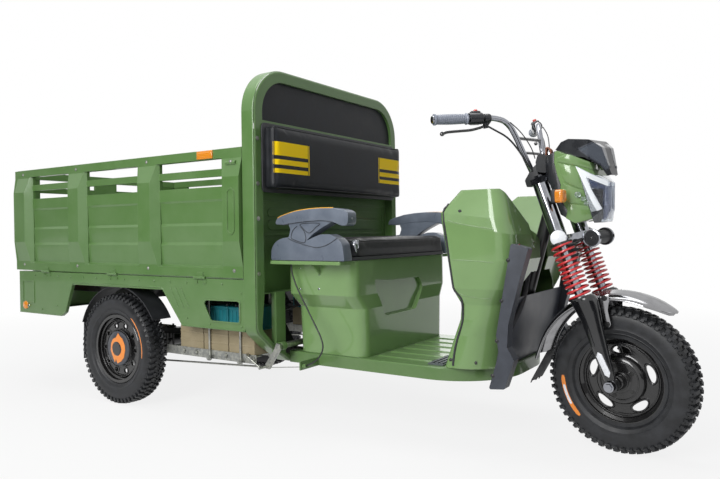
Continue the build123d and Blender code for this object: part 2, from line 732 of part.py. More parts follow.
def brake_linkage():
    """Cross shaft below the seat, its arms, the rods back to the drums and the cable's link."""
    shaft_x, shaft_z = brake_shaft_x, brake_shaft_height
    reach = brake_arm_y
    arm_x, arm_z = shaft_x - 57, shaft_z - brake_arm_drop + 6
    linkage = rod((shaft_x, -reach, shaft_z), (shaft_x, reach, shaft_z), brake_shaft_radius)
    arm = side_view([
        (shaft_x - 15, shaft_z - 10), (shaft_x - 4, shaft_z + 15), (shaft_x + 15, shaft_z + 12),
        (shaft_x + 18, shaft_z - 8), (arm_x + 14, arm_z - 10), (arm_x - 8, arm_z - 8),
        (arm_x - 10, arm_z + 6),
    ], -reach - 4, -reach + 4)
    brake_y = track / 2 - rim_width / 2 - 33.5
    back_rod = rod((arm_x, -reach - 12, arm_z), (68, -brake_y, 204), 4)
    back_rod += rod((arm_x, -reach - 16, arm_z), (arm_x, -reach + 6, arm_z), 5)
    back_rod += rod((68, -brake_y - 12, 204), (68, -brake_y + 4, 204), 4)
    linkage += both_sides(arm) + both_sides(back_rod)
    bush_y = -battery_outer - 15
    bush = (shaft_x - 132, bush_y, 297)
    linkage += rod((arm_x, bush_y - 6, arm_z), (arm_x, -reach, arm_z), 5)
    linkage += rod((arm_x, bush_y, arm_z), bush, 4)
    linkage += rod((bush[0], bush_y - 8, bush[2]), (bush[0], bush_y + 7, bush[2]), 8)
    linkage += rod((shaft_x + 120, -reach, 268), (shaft_x - 45, -reach, 249), 1.5)
    return linkage


def brake_cable():
    """Sheathed cable of the parking brake, from under the armrest to its stop at the floor."""
    ledge_foot = seat_base_top - ledge_thickness
    x = headboard_front
    end = (x + 151, -brake_arm_y, 271)
    path = [
        (x + 90, -440, ledge_foot - 1), (x + 81, -440, 638), (x + 200, -444, 452), (x + 252, -448, 373),
        (x + 244, -450, 326), (x + 197, -452, 284), end,
    ]
    return tube_along(path, [50, 200, 60, 30, 30], cable_radius)


def save_running_gear():
    """Frame, axle, springs, batteries and the parking brake."""
    save("main_frame", main_frame())
    save("rear_axle", rear_axle())
    save("leaf_springs", leaf_springs())
    save("battery_pack", battery_pack())
    save("battery_tray", battery_tray())
    save("brake_linkage", brake_linkage())
    save("brake_cable", brake_cable())


# ---------------------------------------------------------------- headboard

def board_outline(inset):
    """Outline of the headboard in y and z, drawn in by an inset."""
    half, top = half_board, headboard_top
    low = foot_floor_bottom
    right = [(half, top), (half, low + 150), (half - 88, low + 76), (half - 205, low)]
    points = right + [(-y, z) for y, z in reversed(right)]
    radius = headboard_corner
    rounding = {0: radius, 1: 60, 2: 120, 3: 60, 4: 60, 5: 120, 6: 60, 7: radius}
    face = outline(points, rounding)
    return offset(face, amount=-inset, kind=Kind.INTERSECTION) if inset else face


def upper_opening(shrink):
    """Opening above the crossbar, with round upper corners."""
    half, top = half_board - headboard_border - shrink, headboard_top - headboard_border - shrink
    low = crossbar_height + shrink
    radius = headboard_corner - headboard_border - shrink
    face = Pos(0, (top + low) / 2) * Rectangle(2 * half, top - low)
    return fillet(face.vertices().group_by(Axis.Y)[-1], radius)


def lower_opening(shrink):
    """Opening from the crossbar down to the foot floor, widening a little below the apron."""
    half = half_board - headboard_border - shrink
    low = foot_floor_bottom
    right = [
        (half, crossbar_height - crossbar_depth - shrink), (half, apron_bottom),
        (half_board - 34 - shrink, low + 158), (half_board - 96, low + 96 + shrink),
        (half_board - 210, low + 22 + shrink),
    ]
    points = right + [(-y, z) for y, z in reversed(right)]
    return outline(points, {2: 30, 3: 60, 6: 60, 7: 30})


def board_plane(x):
    """Plane across the vehicle, looking forward."""
    return Plane(origin=(x, 0, 0), x_dir=(0, 1, 0), z_dir=(1, 0, 0))


def headboard():
    """Pressed loop behind the rider, open at the back, with its crossbar, apron and posts."""
    depth, wall = headboard_depth, headboard_wall
    back, front = headboard_back, headboard_front
    solid = extrude(board_plane(back) * board_outline(0), amount=depth)
    rim = solid.faces().sort_by(Axis.X)[-1].edges()
    solid = fillet(rim, 12)
    hollow = extrude(board_plane(back - 1) * board_outline(wall), amount=depth - wall + 1)
    for opening in (upper_opening, lower_opening):
        solid -= extrude(board_plane(back - 1) * opening(0), amount=depth + 2)
        hollow -= extrude(board_plane(back - 2) * opening(-wall), amount=depth + 2)
    board = solid - hollow
    half = half_board - headboard_border
    sheet_front = apron_front
    top = backrest_bottom
    board += block(sheet_front - wall, sheet_front, -half - 1, half + 1, apron_bottom, top)
    board += block(sheet_front - wall, front, -half - 1, half + 1, apron_bottom, apron_bottom + wall)
    board += block(sheet_front - wall, front, -half - 1, half + 1, top + 9, top + 12)
    board += block(sheet_front - wall, sheet_front, -half - 1, half + 1, top, top + 12)
    for z, height in ((887, 32), (838, 44)):
        board += stadium(sheet_front, -half + 70, half - 70, z, height, 5)
    bead = block(sheet_front, sheet_front + 4, -half + 26, half - 26, 790, 936)
    bead -= block(sheet_front - 1, sheet_front + 5, -half + 34, half - 34, 798, 928)
    board += bead
    post = block(front - 19, front - 19 + post_depth, post_middle - 29, post_middle + 29,
                 foot_floor_top + seat_gap, apron_bottom + wall)
    boss = rod((brake_shaft_x, post_middle - 2, brake_shaft_height),
               (brake_shaft_x, post_middle + 24, brake_shaft_height), brake_shaft_radius + 5)
    lug = block(front, brake_shaft_x - 4, post_middle - 2, post_middle + 24,
                brake_shaft_height - 14, brake_shaft_height + 14)
    board += both_sides(post + boss + lug)
    board -= rod((brake_shaft_x, -600, brake_shaft_height), (brake_shaft_x, 600, brake_shaft_height),
                 brake_shaft_radius + shaft_gap)
    rail_room = rail_middle + rail_width / 2 + weld_gap
    board -= block(back - 1, front + 1, -rail_room, rail_room, foot_floor_bottom - 1, foot_floor_top + 2)
    return board


def headboard_panel():
    """Black padded sheet in the upper opening of the headboard."""
    return extrude(board_plane(headboard_front - 22) * upper_opening(seat_gap), amount=8)


def backrest():
    """Backrest cushion on the front of the headboard."""
    half = half_board - headboard_border + 2
    pad = block(headboard_front + seat_gap, headboard_front + backrest_thickness, -half, half,
                backrest_bottom, backrest_top)
    return fillet(pad.edges(), 16)


# ---------------------------------------------------------------- seat

def seat_level(z, half, x_from, x_to, inset):
    """One level of the seat base: a rectangle with round corners, drawn in by an inset."""
    plane = Plane(origin=((x_from + x_to) / 2, 0, z))
    return plane * RectangleRounded(x_to - x_from - 2 * inset, 2 * (half - inset), seat_corner - inset)


def seat_body(inset, foot_lift):
    """Solid body of the seat base, drawn in by an inset and raised at its foot."""
    back, front = seat_back, seat_front
    levels = [
        (foot_floor_top + seat_gap + foot_lift, half_seat_foot - 8, back + 20, front + 4),
        (seat_step_low, half_seat_foot, back + 17, front + 4),
        (seat_step_high, half_seat, back + 4, front - 4),
        (seat_base_top, half_seat + 2, back + 4, front - 6),
    ]
    faces = [seat_level(*level, inset) for level in levels]
    if inset:
        top = levels[-1]
        faces.append(seat_level(top[0] + 10, *top[1:], inset))
    return loft(faces, ruled=True)


def front_pocket(grow):
    """Outline of the recess pressed into the front of the seat base."""
    points = [(-253, 610), (-181, 455), (77, 459), (159, 555), (125, 596), (-110, 598)]
    face = outline(points, {0: 14, 1: 20, 2: 20, 3: 20, 4: 20})
    return offset(face, amount=grow, kind=Kind.INTERSECTION) if grow else face


def seat_hinge_ears():
    """Fixed ears of the lid's two hinges, standing on the rear wall of the base."""
    x, z = seat_hinge_x, seat_hinge_height
    ears = None
    for middle in (-0.6 * half_seat, 0.6 * half_seat):
        for low, high in ((middle - 38, middle - 18), (middle + 18, middle + 38)):
            ear = rod((x, low, z), (x, high, z), hinge_radius)
            ear += block(x - hinge_radius, x - 1, low, high, seat_base_top - 24, z)
            ear -= rod((x, low - 1, z), (x, high + 1, z), hinge_pin_radius + shaft_gap)
            ears = ear if ears is None else ears + ear
    return ears


def seat_base():
    """Moulded seat base, hollow below the lid, with a ledge for each armrest."""
    wall = seat_wall
    body = seat_body(0, 0)
    inner = seat_body(wall, wall)
    depth = 14
    face = seat_front - 4
    body -= extrude(board_plane(face - depth) * front_pocket(0), amount=60)
    inner -= extrude(board_plane(face - depth - wall) * front_pocket(wall), amount=60)
    base = body - inner
    ledge = block(headboard_front + 2, headboard_front + 347, half_seat - 1, half_seat + ledge_width,
                  seat_base_top - ledge_thickness, seat_base_top)
    ledge = fillet(ledge.edges().filter_by(Axis.Z).sort_by(Axis.X)[-1], 8)
    gusset = end_view([
        (half_seat - 1, seat_base_top - ledge_thickness - 46), (half_seat - 1, seat_base_top - 6),
        (half_seat + ledge_width - 12, seat_base_top - 6),
        (half_seat + ledge_width - 12, seat_base_top - ledge_thickness),
    ], headboard_front + 200, headboard_front + 206)
    base += both_sides(ledge) + both_sides(gusset)
    return base + seat_hinge_ears()


def seat_lid():
    """Lid under the cushion: a shallow moulded cover with its hinge knuckles at the rear."""
    back, front, half, wall = seat_hinge_x + 6, seat_front - 2, half_seat, seat_wall
    lid = seat_level(lid_bottom, half, back, front, 0)
    lid = extrude(lid, amount=lid_top - lid_bottom)
    hollow = seat_level(lid_bottom - 1, half, back, front, wall)
    lid -= extrude(hollow, amount=lid_top - lid_bottom - wall + 1)
    x, z = seat_hinge_x, seat_hinge_height
    for middle in (-0.6 * half_seat, 0.6 * half_seat):
        lid -= block(x, x + 9, middle - 40, middle + 40, lid_bottom - 2, lid_top + 2)
        lid += block(x + 7, x + 22, middle - 44, middle + 44, lid_top - wall, lid_top)
        lid += block(x, x + 20, middle - 17, middle + 17, lid_top - wall, lid_top)
        lid += rod((x, middle - 17, z), (x, middle + 17, z), hinge_radius)
        lid += rod((x, middle - 38, z), (x, middle + 38, z), hinge_pin_radius)
    return lid


def seat_cushion():
    """Seat cushion on the lid."""
    pad = block(seat_hinge_x + 26, seat_front, -half_seat + cushion_inset, half_seat - cushion_inset,
                lid_top + seat_gap, lid_top + seat_gap + cushion_thickness)
    pad = fillet(pad.edges().filter_by(Axis.Z), 40)
    return fillet(pad.faces().sort_by(Axis.Z)[-1].edges(), 18)


def armrest():
    """Right armrest: a moulded foot, a stem that leans forward and a pad."""
    x, z = headboard_front, seat_base_top
    points = [
        (1, seat_gap), (1, 14), (11, 51), (44, 81), (85, 95), (94, 120), (96, 146), (23, 152), (23, 162),
        (46, 179), (128, 201), (219, 208), (329, 200), (379, 190), (387, 162), (367, 140),
        (345, 138), (305, 157), (294, 145), (247, 125), (196, 99), (282, 106), (322, 96),
        (350, 85), (355, 14), (347, seat_gap),
    ]
    points = [(x + along, z + up) for along, up in points]
    outer = half_seat + ledge_width
    shape = side_view(points, -outer, -half_seat - 12, {5: 10, 7: 4, 14: 10, 20: 6})
    rims = shape.faces().sort_by(Axis.Y)
    return fillet(rims[0].edges(), 4)


def save_headboard_and_seat():
    """Headboard, its cushions, the seat and the armrests."""
    save("headboard", headboard())
    save("headboard_panel", headboard_panel())
    save("backrest_cushion", backrest())
    save("seat_base", seat_base())
    save("seat_lid", seat_lid())
    save("seat_cushion", seat_cushion())
    save("armrests", both_sides(armrest()))


# ---------------------------------------------------------------- foot floor and front cover

def floor_outline(inset):
    """Plan of the foot floor, drawn in by an inset at its sides and front."""
    half, front = half_foot - inset, foot_floor_front - inset
    back = headboard_front + seat_gap
    points = [(back, -half), (front, -half), (front, half), (back, half)]
    corner = foot_floor_corner - inset
    return outline(points, {1: corner, 2: corner})


def foot_floor():
    """Pressed foot floor: a shallow pan upside down with ribs along its top."""
    low, top, wall = foot_floor_bottom, foot_floor_top, foot_floor_wall
    pan = Pos(0, 0, low) * extrude(floor_outline(0), amount=top - low)
    pan = fillet(pan.faces().sort_by(Axis.Z)[-1].edges().filter_by(Axis.Y, reverse=True), 5)
    hollow = Pos(-5, 0, low - 1) * extrude(floor_outline(wall), amount=top - low - wall + 1)
    hollow += block(headboard_front - 9, headboard_front + 30, -half_foot + wall, half_foot - wall,
                    low - 1, top - wall)
    pan -= hollow
    for y in (-250, -150, -50, 50, 150, 250):
        rib = end_view([(y - 24, top - 1), (y - 18, top + 4), (y + 18, top + 4), (y + 24, top - 1)],
                       seat_front + 22, cover_rear - 66)
        pan += rib
    tab_x = headboard_front + 146
    pan += block(tab_x, tab_x + 6, -brake_arm_y - 16, -half_foot + 2, low, low + 34)
    stop = rod((tab_x - 5, -brake_arm_y, 268.4), (tab_x + 24, -brake_arm_y, 276.6), 9)
    pan += stop
    pan -= rod((tab_x - 18, -brake_arm_y, 264.5), (tab_x + 80, -brake_arm_y, 292.2), cable_radius + seat_gap)
    return pan - neck(neck_radius + 3)


def floor_mat():
    """Ribbed rubber mat between the seat and the leg shield."""
    top = foot_floor_top + seat_gap
    start, finish, half = cover_rear - 58, cover_rear + 6, half_foot - 30
    mat = block(start, finish, -half, half, top, top + 5)
    for x in (start + 8, start + 27, start + 46):
        mat += block(x, x + 11, -half + 8, half - 8, top + 4, top + 9)
    return mat


def shield_level(z, drop, x_from, x_to, half, corner, inset):
    """One level of the leg shield, lower at its front by a drop."""
    length = x_to - x_from
    tilt = degrees(asin(drop / length))
    plane = Plane(origin=((x_from + x_to) / 2, 0, z - drop / 2)) * Rot(0, tilt, 0)
    front, back = corner, 26
    points = [
        (-length / 2 + inset, -half + inset), (length / 2 - inset, -half + inset),
        (length / 2 - inset, half - inset), (-length / 2 + inset, half - inset),
    ]
    rounding = {0: back, 1: front, 2: front, 3: back}
    return plane * outline(points, rounding)


def shield_body(inset, lift):
    """Solid body of the leg shield between its foot and its top, drawn in by an inset."""
    x = cover_rear
    foot, rise = foot_floor_top + seat_gap - lift, foot_floor_top
    levels = [
        (foot, 0, x + 14, x + 202, 338, 140),
        (rise + 118, 0, x + 50, x + 207, 325, 110),
        (rise + 176, 0, x + 70, x + 217, 322, 90),
        (rise + 231, 0, x + 74, x + 227, 322, 80),
        (rise + 289, 0, x + 46, x + 252, 340, 70),
        (rise + 391, 0, x + 34, x + 282, 348, 60),
        (rise + 534, 54, x + 8, x + 282, 350, 60),
        (rise + 562, 30, x + 6, x + 264, 346, 60),
        (rise + 642 - inset, 0, x + 71, x + 231, 314, 50),
    ]
    return loft([shield_level(*level, inset) for level in levels], ruled=True)


def shield_notch(grow):
    """V between the two lobes of the leg shield, with the slot for the neck below it."""
    high, low = foot_floor_top + 660, foot_floor_top + 452
    notch = end_view([
        (-310 + grow, high), (-292 - grow, high - 20 - grow), (-46 - grow, low - grow),
        (46 + grow, low - grow), (292 + grow, high - 20 - grow), (310 - grow, high),
        (310 - grow, high + 60), (-310 + grow, high + 60),
    ], cover_rear - 40, cover_rear + 330)
    return notch


def fork_relief(grow):
    """Hollow in each lobe of the leg shield that lets the fork before it swing past."""
    x, y, room = fork_offset, -half_fork, fork_clearance + grow
    tube = rod((x, y, lower_yoke[0]), (x, y, upper_crown[1]), fork_cover_radius + room)
    tube += rod((x, y, lower_yoke[0] - room), (x, y, lower_yoke[1] + room), yoke_corner_radius + room)
    swung = fork_frame * Rot(0, 0, -steer_swing) * tube
    return swung + mirror(swung, about=Plane.XZ)


def leg_shield():
    """Moulded leg shield, hollow, open below and at the front, with a V between its lobes."""
    wall = shield_wall
    body = shield_body(0, 0) - shield_notch(0) - fork_relief(0)
    inner = shield_body(wall, 1) - shield_notch(wall) - fork_relief(wall)
    shield = body - inner
    slot = block(cover_rear + 180, cover_rear + 320, -46, 46, foot_floor_top - 10, foot_floor_top + 500)
    lower = end_view([
        (-250, foot_floor_top - 10), (250, foot_floor_top - 10), (262, foot_floor_top + 250),
        (110, foot_floor_top + 340), (-110, foot_floor_top + 340), (-262, foot_floor_top + 250),
    ], cover_rear + 150, cover_rear + 320)
    return shield - slot - lower


def front_shroud():
    """Black cover behind the front wheel with a guard down each side."""
    x, z = foot_floor_front, foot_floor_top
    guard = side_view([
        (x + 60, z + 451), (x + 121, z + 434), (x + 85, z + 311), (x + 48, z + 174), (x + 43, z + 94),
        (x + 68, z + 51), (x + 32, z - 50), (x - 25, z - 56), (x + 13, z + 70), (x + 4, z + 134),
    ], -guard_outer, -guard_inner, {0: 8, 1: 8, 6: 6, 7: 6})
    guard -= shield_body(-seat_gap, 0)
    bulkhead = side_view([
        (x - 20, z + seat_gap), (x - 14, z + seat_gap), (x + 36, z + 254), (x + 30, z + 254),
    ], -guard_inner - 2, guard_inner + 2)
    return bulkhead + guard + mirror(guard, about=Plane.XZ)


def save_front_cover():
    """Foot floor, mat, leg shield and shroud."""
    save("foot_floor", foot_floor())
    save("floor_mat", floor_mat())
    save("leg_shield", leg_shield())
    save("front_shroud", front_shroud())


# ---------------------------------------------------------------- steering

def fork_crowns():
    """Upper crown and lower yoke joined by the steering stem."""
    half = [(-22, 0), (-22, 22), (fork_offset - 30, half_fork), (fork_offset - 22, half_fork + 26),
            (fork_offset + 22, half_fork + 26), (fork_offset + 30, half_fork), (32, 0)]
    around = half[1:] + [(x, -y) for x, y in reversed(half[1:-1])]
    upper = plan_view(around, *upper_crown)
    lower = plan_view(around, *lower_yoke)
    stem = rod((0, 0, lower_yoke[0] + 15), (0, 0, upper_crown[1] - 11), stem_radius)
    bolts = None
    for y in (-half_fork, half_fork):
        bolt = extrude(Pos(fork_offset, y, upper_crown[1]) * RegularPolygon(15, 6), amount=10)
        bolts = bolt if bolts is None else bolts + bolt
    return fork_frame * (upper + lower + stem + bolts)


def fork_tubes():
    """Chrome tubes: a cover above the lower yoke and a stanchion through the spring."""
    y = -half_fork
    cover = rod((fork_offset, y, lower_yoke[1] + seat_gap), (fork_offset, y, upper_crown[0] - seat_gap),
                fork_cover_radius)
    stanchion = rod((fork_offset, y, lower_yoke[0] - seat_gap), (fork_offset, y, spring_bottom - 50),
                    fork_tube_radius)
    return fork_frame * both_sides(cover + stanchion)


def fork_springs():
    """Open springs round the stanchions."""
    height = spring_top - spring_bottom
    pitch = (height - 2 * spring_wire - 1) / spring_turns
    helix = Helix(pitch, pitch * spring_turns, spring_radius)
    section = Plane(origin=helix @ 0, z_dir=helix % 0) * RegularPolygon(spring_wire, 6)
    coil = sweep(section, path=helix, is_frenet=True)
    coil = Pos(fork_offset, -half_fork, spring_bottom + spring_wire + 0.5) * coil
    return fork_frame * both_sides(coil)


def fork_legs():
    """Lower legs with their spring seats, the lugs at the foot and the axle between them."""
    y = -half_fork
    leg = loft([
        Plane(origin=(fork_offset, y, spring_bottom)) * Circle(fork_leg_radius + 3),
        Plane(origin=(fork_offset, y, -axle_drop - 20)) * Circle(fork_leg_radius - 8),
    ])
    leg += rod((fork_offset, y, spring_bottom - 12), (fork_offset, y, spring_bottom), 38)
    leg -= rod((fork_offset, y, spring_bottom + 1), (fork_offset, y, spring_bottom - 51),
               fork_tube_radius + seat_gap)
    leg += rod((fork_offset, y - 17, -axle_drop), (fork_offset, y + 17, -axle_drop), 24)
    legs = leg + mirror(leg, about=Plane.XZ)
    reach = half_fork + 30
    legs += rod((fork_offset, -reach, -axle_drop), (fork_offset, reach, -axle_drop), axle_radius)
    for side in (-1, 1):
        low, high = sorted((side * (half_fork + 17), side * (half_fork + 26)))
        nut = Plane(origin=(fork_offset, low, -axle_drop), z_dir=(0, 1, 0)) * RegularPolygon(13, 6)
        legs += extrude(nut, amount=high - low)
    return fork_frame * legs


def front_fender():
    """Crowned fender over the front wheel, straight at the rear, on tabs from the legs."""
    crown, half, wall = tyre_radius + fender_gap, fender_half, fender_wall
    low = crown - 22
    outer = ThreePointArc((low, -half), (crown, 0), (low, half))
    inner = ThreePointArc((low - wall, half), (crown - wall, 0), (low - wall, -half))
    section = make_face([outer, Line(outer @ 1, inner @ 0), inner, Line(inner @ 1, outer @ 0)])
    sweep_angle = fender_rear - fender_front
    arc = Rot(0, -fender_front, 0) * revolve(section, Axis.Y, revolution_arc=-sweep_angle)
    tail = Rot(0, -fender_rear, 0) * extrude(section, amount=fender_tail)
    fender = Pos(wheelbase, 0, tyre_radius) * (arc + tail)
    leg = rod((fork_offset, -half_fork, spring_bottom + 2), (fork_offset, -half_fork, -axle_drop),
              fork_leg_radius + 3)
    z = -axle_drop + low
    tab = block(fork_offset - 28, fork_offset + 28, -half_fork + 20, -half + 1, z - 12, z + 2) - leg
    return fender + fork_frame * both_sides(tab)


def handlebar():
    """Bent bar with its cross brace, clamped on the upper crown."""
    right = tube_along(bar_path, [18, 30, 30], bar_radius)
    clamp = block(-8, 20, -60, -30, upper_crown[1] + seat_gap, upper_crown[1] + 30)
    low, high = Vector(*bar_path[1]), Vector(*bar_path[2])
    hold = low + (high - low) * 0.52
    brace = rod((hold.X, hold.Y, hold.Z), (hold.X, -hold.Y, hold.Z), 6.5)
    bar = right + clamp
    return fork_frame * (bar + mirror(bar, about=Plane.XZ) + brace)


def grips():
    """Ribbed rubber grips over the ends of the bar."""
    start, end = Vector(*bar_path[-2]), Vector(*bar_path[-1])
    along = (end - start).normalized()
    grip = rod(tuple(end - along * grip_length), tuple(end + along * 4), grip_radius)
    for shift in (grip_length - 1, 1):
        base = end - along * shift
        grip += rod(tuple(base), tuple(base + along * 5), grip_radius + 4)
    grip -= rod(tuple(end - along * (grip_length + 6)), tuple(end), bar_radius + seat_gap)
    return fork_frame * both_sides(grip)


def hand_controls():
    """Switch housing, lever clamp and brake lever inboard of each grip."""
    start, end = Vector(*bar_path[-2]), Vector(*bar_path[-1])
    along = (end - start).normalized()
    reach = grip_length + 8
    inner, outer = end - along * (reach + 54), end - along * reach
    housing = rod(tuple(inner), tuple(outer), 21)
    clamp_start = inner - along * 34
    clamp = rod(tuple(clamp_start), tuple(clamp_start + along * 26), 17)
    pivot = clamp_start + along * 13 + Vector(38, 4, -8)
    clamp += rod(tuple(clamp_start + along * 13 + Vector(8, 0, -2)), tuple(pivot), 9)
    clamp += rod(tuple(pivot + Vector(0, 0, -10)), tuple(pivot + Vector(0, 0, 10)), 11)
    tip = end + Vector(56, 36, -26)
    middle = pivot + (tip - pivot) * 0.35 + Vector(16, 0, 0)
    lever = tube_along([tuple(pivot), tuple(middle), tuple(tip)], [90], 5.5)
    lever += Pos(*tip) * Sphere(9)
    stub = middle + (pivot - middle) * 0.5
    joined = clamp + lever + rod(tuple(pivot), tuple(stub), 8)
    link = rod(tuple(clamp_start + along * 20), tuple(inner + along * 4), 15)
    bore = rod(tuple(start), tuple(end), bar_radius + seat_gap)
    return fork_frame * both_sides(housing + link + joined - bore)


def nacelle_form(grow, y_half):
    """Form of the headlamp housing, grown by a distance, between two planes."""
    side = outline([
        (101, -38), (76, 30), (61, 85), (39, 100), (39, 166), (91, 190), (193, 140), (227, 30),
        (213, -50), (151, -68),
    ])
    plan = outline([
        (38, -92), (61, -115), (141, -112), (193, -80), (229, -24), (229, 24),
        (193, 80), (141, 112), (61, 115), (38, 92),
    ])
    if grow:
        side = offset(side, amount=grow, kind=Kind.INTERSECTION)
        plan = offset(plan, amount=grow, kind=Kind.INTERSECTION)
    upright = Plane(origin=(0, y_half, 0), x_dir=(1, 0, 0), z_dir=(0, -1, 0))
    return extrude(upright * side, amount=2 * y_half) & (Pos(0, 0, -200) * extrude(plan, amount=500))


def nacelle():
    """Moulded headlamp housing in front of the bar, with an ear on each fork cover."""
    shell = nacelle_form(0, 130)
    hollow = nacelle_form(-5, 126)
    cable_hole = block(70, 130, -40, 40, -90, -30)
    body = to_lamp * (shell - hollow - cable_hole)
    ears = block(66, 100, half_fork - 12, half_fork + 12, 14, 44)
    ears = to_lamp * both_sides(ears)
    cover = rod((fork_offset, half_fork, lower_yoke[1]), (fork_offset, half_fork, upper_crown[0]),
                fork_cover_radius + seat_gap)
    return body + ears - both_sides(fork_frame * cover)


def lens_form(grow):
    """Form of the headlamp lens, grown by a distance."""
    side = outline([(161, 164), (201, 148), (251, 74), (244, -28), (229, -72), (161, -74)])
    plan = outline([
        (141, -116), (201, -82), (237, -27), (253, -10), (253, 10), (237, 27), (201, 82), (141, 116),
    ])
    if grow:
        side = offset(side, amount=grow, kind=Kind.INTERSECTION)
        plan = offset(plan, amount=grow, kind=Kind.INTERSECTION)
    upright = Plane(origin=(0, 120, 0), x_dir=(1, 0, 0), z_dir=(0, -1, 0))
    return extrude(upright * side, amount=240) & (Pos(0, 0, -200) * extrude(plan, amount=500))


def headlamp_lens():
    """Clear headlamp lens over the front of the housing."""
    lens = lens_form(0) - nacelle_form(seat_gap, 130)
    pieces = sorted(lens.solids(), key=lambda solid: solid.volume)
    return to_lamp * pieces[-1]


def visor_form(inset, drop):
    """Form of the peak, drawn in by an inset, with its lower edge dropped."""
    side = outline([
        (71 + inset, 196), (93 + inset / 2, 222 - inset), (120, 231 - inset), (196, 222 - inset),
        (230 - inset, 192 - inset), (254 - inset, 96), (243, 92 - drop), (226, 128 - drop),
        (180, 160 - drop), (100, 176 - drop),
    ], {2: 12, 3: 16, 4: 12})
    plan = outline([
        (60, -82 + inset), (190 - inset / 2, -84 + inset), (236 - inset, -50 + inset / 2),
        (262 - inset, -20), (262 - inset, 20), (236 - inset, 50 - inset / 2),
        (190 - inset / 2, 84 - inset), (60, 82 - inset),
    ])
    upright = Plane(origin=(0, 100, 0), x_dir=(1, 0, 0), z_dir=(0, -1, 0))
    return extrude(upright * side, amount=200) & extrude(plan, amount=400)


def visor():
    """Black peak over the headlamp, a thin hood that stands on the housing and the lens."""
    form = visor_form(0, 0) - nacelle_form(seat_gap, 130) - lens_form(seat_gap)
    hood = form - visor_form(5, 40)
    pieces = sorted(hood.solids(), key=lambda solid: solid.volume)
    return to_lamp * pieces[-1]


def indicators():
    """Front indicators on short stems from the sides of the housing."""
    lamp = Pos(119, -170, 27) * (fillet(Box(46, 44, 48).edges(), 8))
    stem = rod((111, -149, 27), (111, -100, 27), 9) - nacelle_form(seat_gap, 130)
    return to_lamp * both_sides(lamp + stem.solids().sort_by(Axis.Y)[0])


def horns():
    """Two horns back to back on one body, on a plate below the lower yoke."""
    x, z = 139, lower_yoke[0] - 17
    body = rod((x, -60, z), (x, 60, z), 25)
    for low, high in ((-68, -56), (56, 68)):
        body += rod((x, low, z), (x, high, z), 31)
    body += block(20, x, -28, 28, lower_yoke[0] - seat_gap - 6, lower_yoke[0] - seat_gap)
    return fork_frame * body


def console():
    """Instrument console between the bar and the headlamp housing."""
    front = 39 - seat_gap
    shape = side_view([
        (-9, 122), (-13, 158), (-3, 188), (front, 178), (front, 120), (21, 116),
    ], -72, 72, {0: 8, 1: 10, 2: 10})
    return to_lamp * shape


def save_steering():
    """Everything that turns with the handlebar, parked turned a little to the right."""
    save("fork_crowns", steered(fork_crowns()))
    save("fork_tubes", steered(fork_tubes()))
    save("fork_springs", steered(fork_springs()))
    save("fork_legs", steered(fork_legs()))
    save("front_fender", steered(front_fender()))
    save("handlebar", steered(handlebar()))
    save("handlebar_grips", steered(grips()))
    save("hand_controls", steered(hand_controls()))
    save("headlamp_nacelle", steered(nacelle()))
    save("headlamp_lens", steered(headlamp_lens()))
    save("headlamp_visor", steered(visor()))
    save("front_indicators", steered(indicators()))
    save("horns", steered(horns()))
    save("console", steered(console()))


os.makedirs("parts", exist_ok=True)
save_wheels()
save_drop_sides()
save_cargo_base()
save_running_gear()
save_headboard_and_seat()
save_front_cover()
save_steering()
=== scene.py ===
"""Electric cargo tricycle: its finishes, added pieces, studio and camera.

Sizes are in millimetres, most of them from the middle of the rear axle on the ground, with x
forward, y to the rider's left and z up. A datum turns them into metres in the model's frame.
"""

import json
import logging
import math
from dataclasses import dataclass, field
from enum import Enum
from typing import Any, ClassVar, Iterable, Optional, Sequence, Union

import bmesh
import bpy
from mathutils import Matrix, Vector
from mathutils.bvhtree import BVHTree


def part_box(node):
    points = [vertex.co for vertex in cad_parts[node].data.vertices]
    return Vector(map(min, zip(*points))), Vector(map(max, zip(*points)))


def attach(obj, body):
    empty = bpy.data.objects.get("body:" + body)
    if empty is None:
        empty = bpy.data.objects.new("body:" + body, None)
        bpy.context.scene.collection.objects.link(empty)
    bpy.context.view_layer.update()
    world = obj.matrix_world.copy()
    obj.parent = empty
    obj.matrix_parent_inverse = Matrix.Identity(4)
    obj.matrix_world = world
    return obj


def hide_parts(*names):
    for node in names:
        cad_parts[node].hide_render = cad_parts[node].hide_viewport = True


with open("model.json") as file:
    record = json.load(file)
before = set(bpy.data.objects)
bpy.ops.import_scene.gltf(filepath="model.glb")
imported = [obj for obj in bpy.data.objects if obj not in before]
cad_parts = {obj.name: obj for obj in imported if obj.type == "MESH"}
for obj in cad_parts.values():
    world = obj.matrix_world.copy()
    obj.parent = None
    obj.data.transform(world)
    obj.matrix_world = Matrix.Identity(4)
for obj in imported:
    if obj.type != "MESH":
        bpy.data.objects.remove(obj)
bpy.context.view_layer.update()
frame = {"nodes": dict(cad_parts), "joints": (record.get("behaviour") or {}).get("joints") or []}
LOG = logging.getLogger("tricycle")
MILLIMETRES = Matrix.Scale(0.001, 4)
SIDE = Matrix(((1, 0, 0, 0), (0, 0, 1, 0), (0, 1, 0, 0), (0, 0, 0, 1)))
END = Matrix(((0, 0, 1, 0), (1, 0, 0, 0), (0, 1, 0, 0), (0, 0, 0, 1)))
WAYS = (("right", -1), ("left", 1))
Point = Sequence[float]
Outline = Sequence[tuple[float, float]]
Tree = bpy.types.NodeTree
Socket = bpy.types.NodeSocket
Source = Union[bpy.types.NodeSocket, bpy.types.Node]
Thing = bpy.types.Object


# ---------------------------------------------------------------- datums

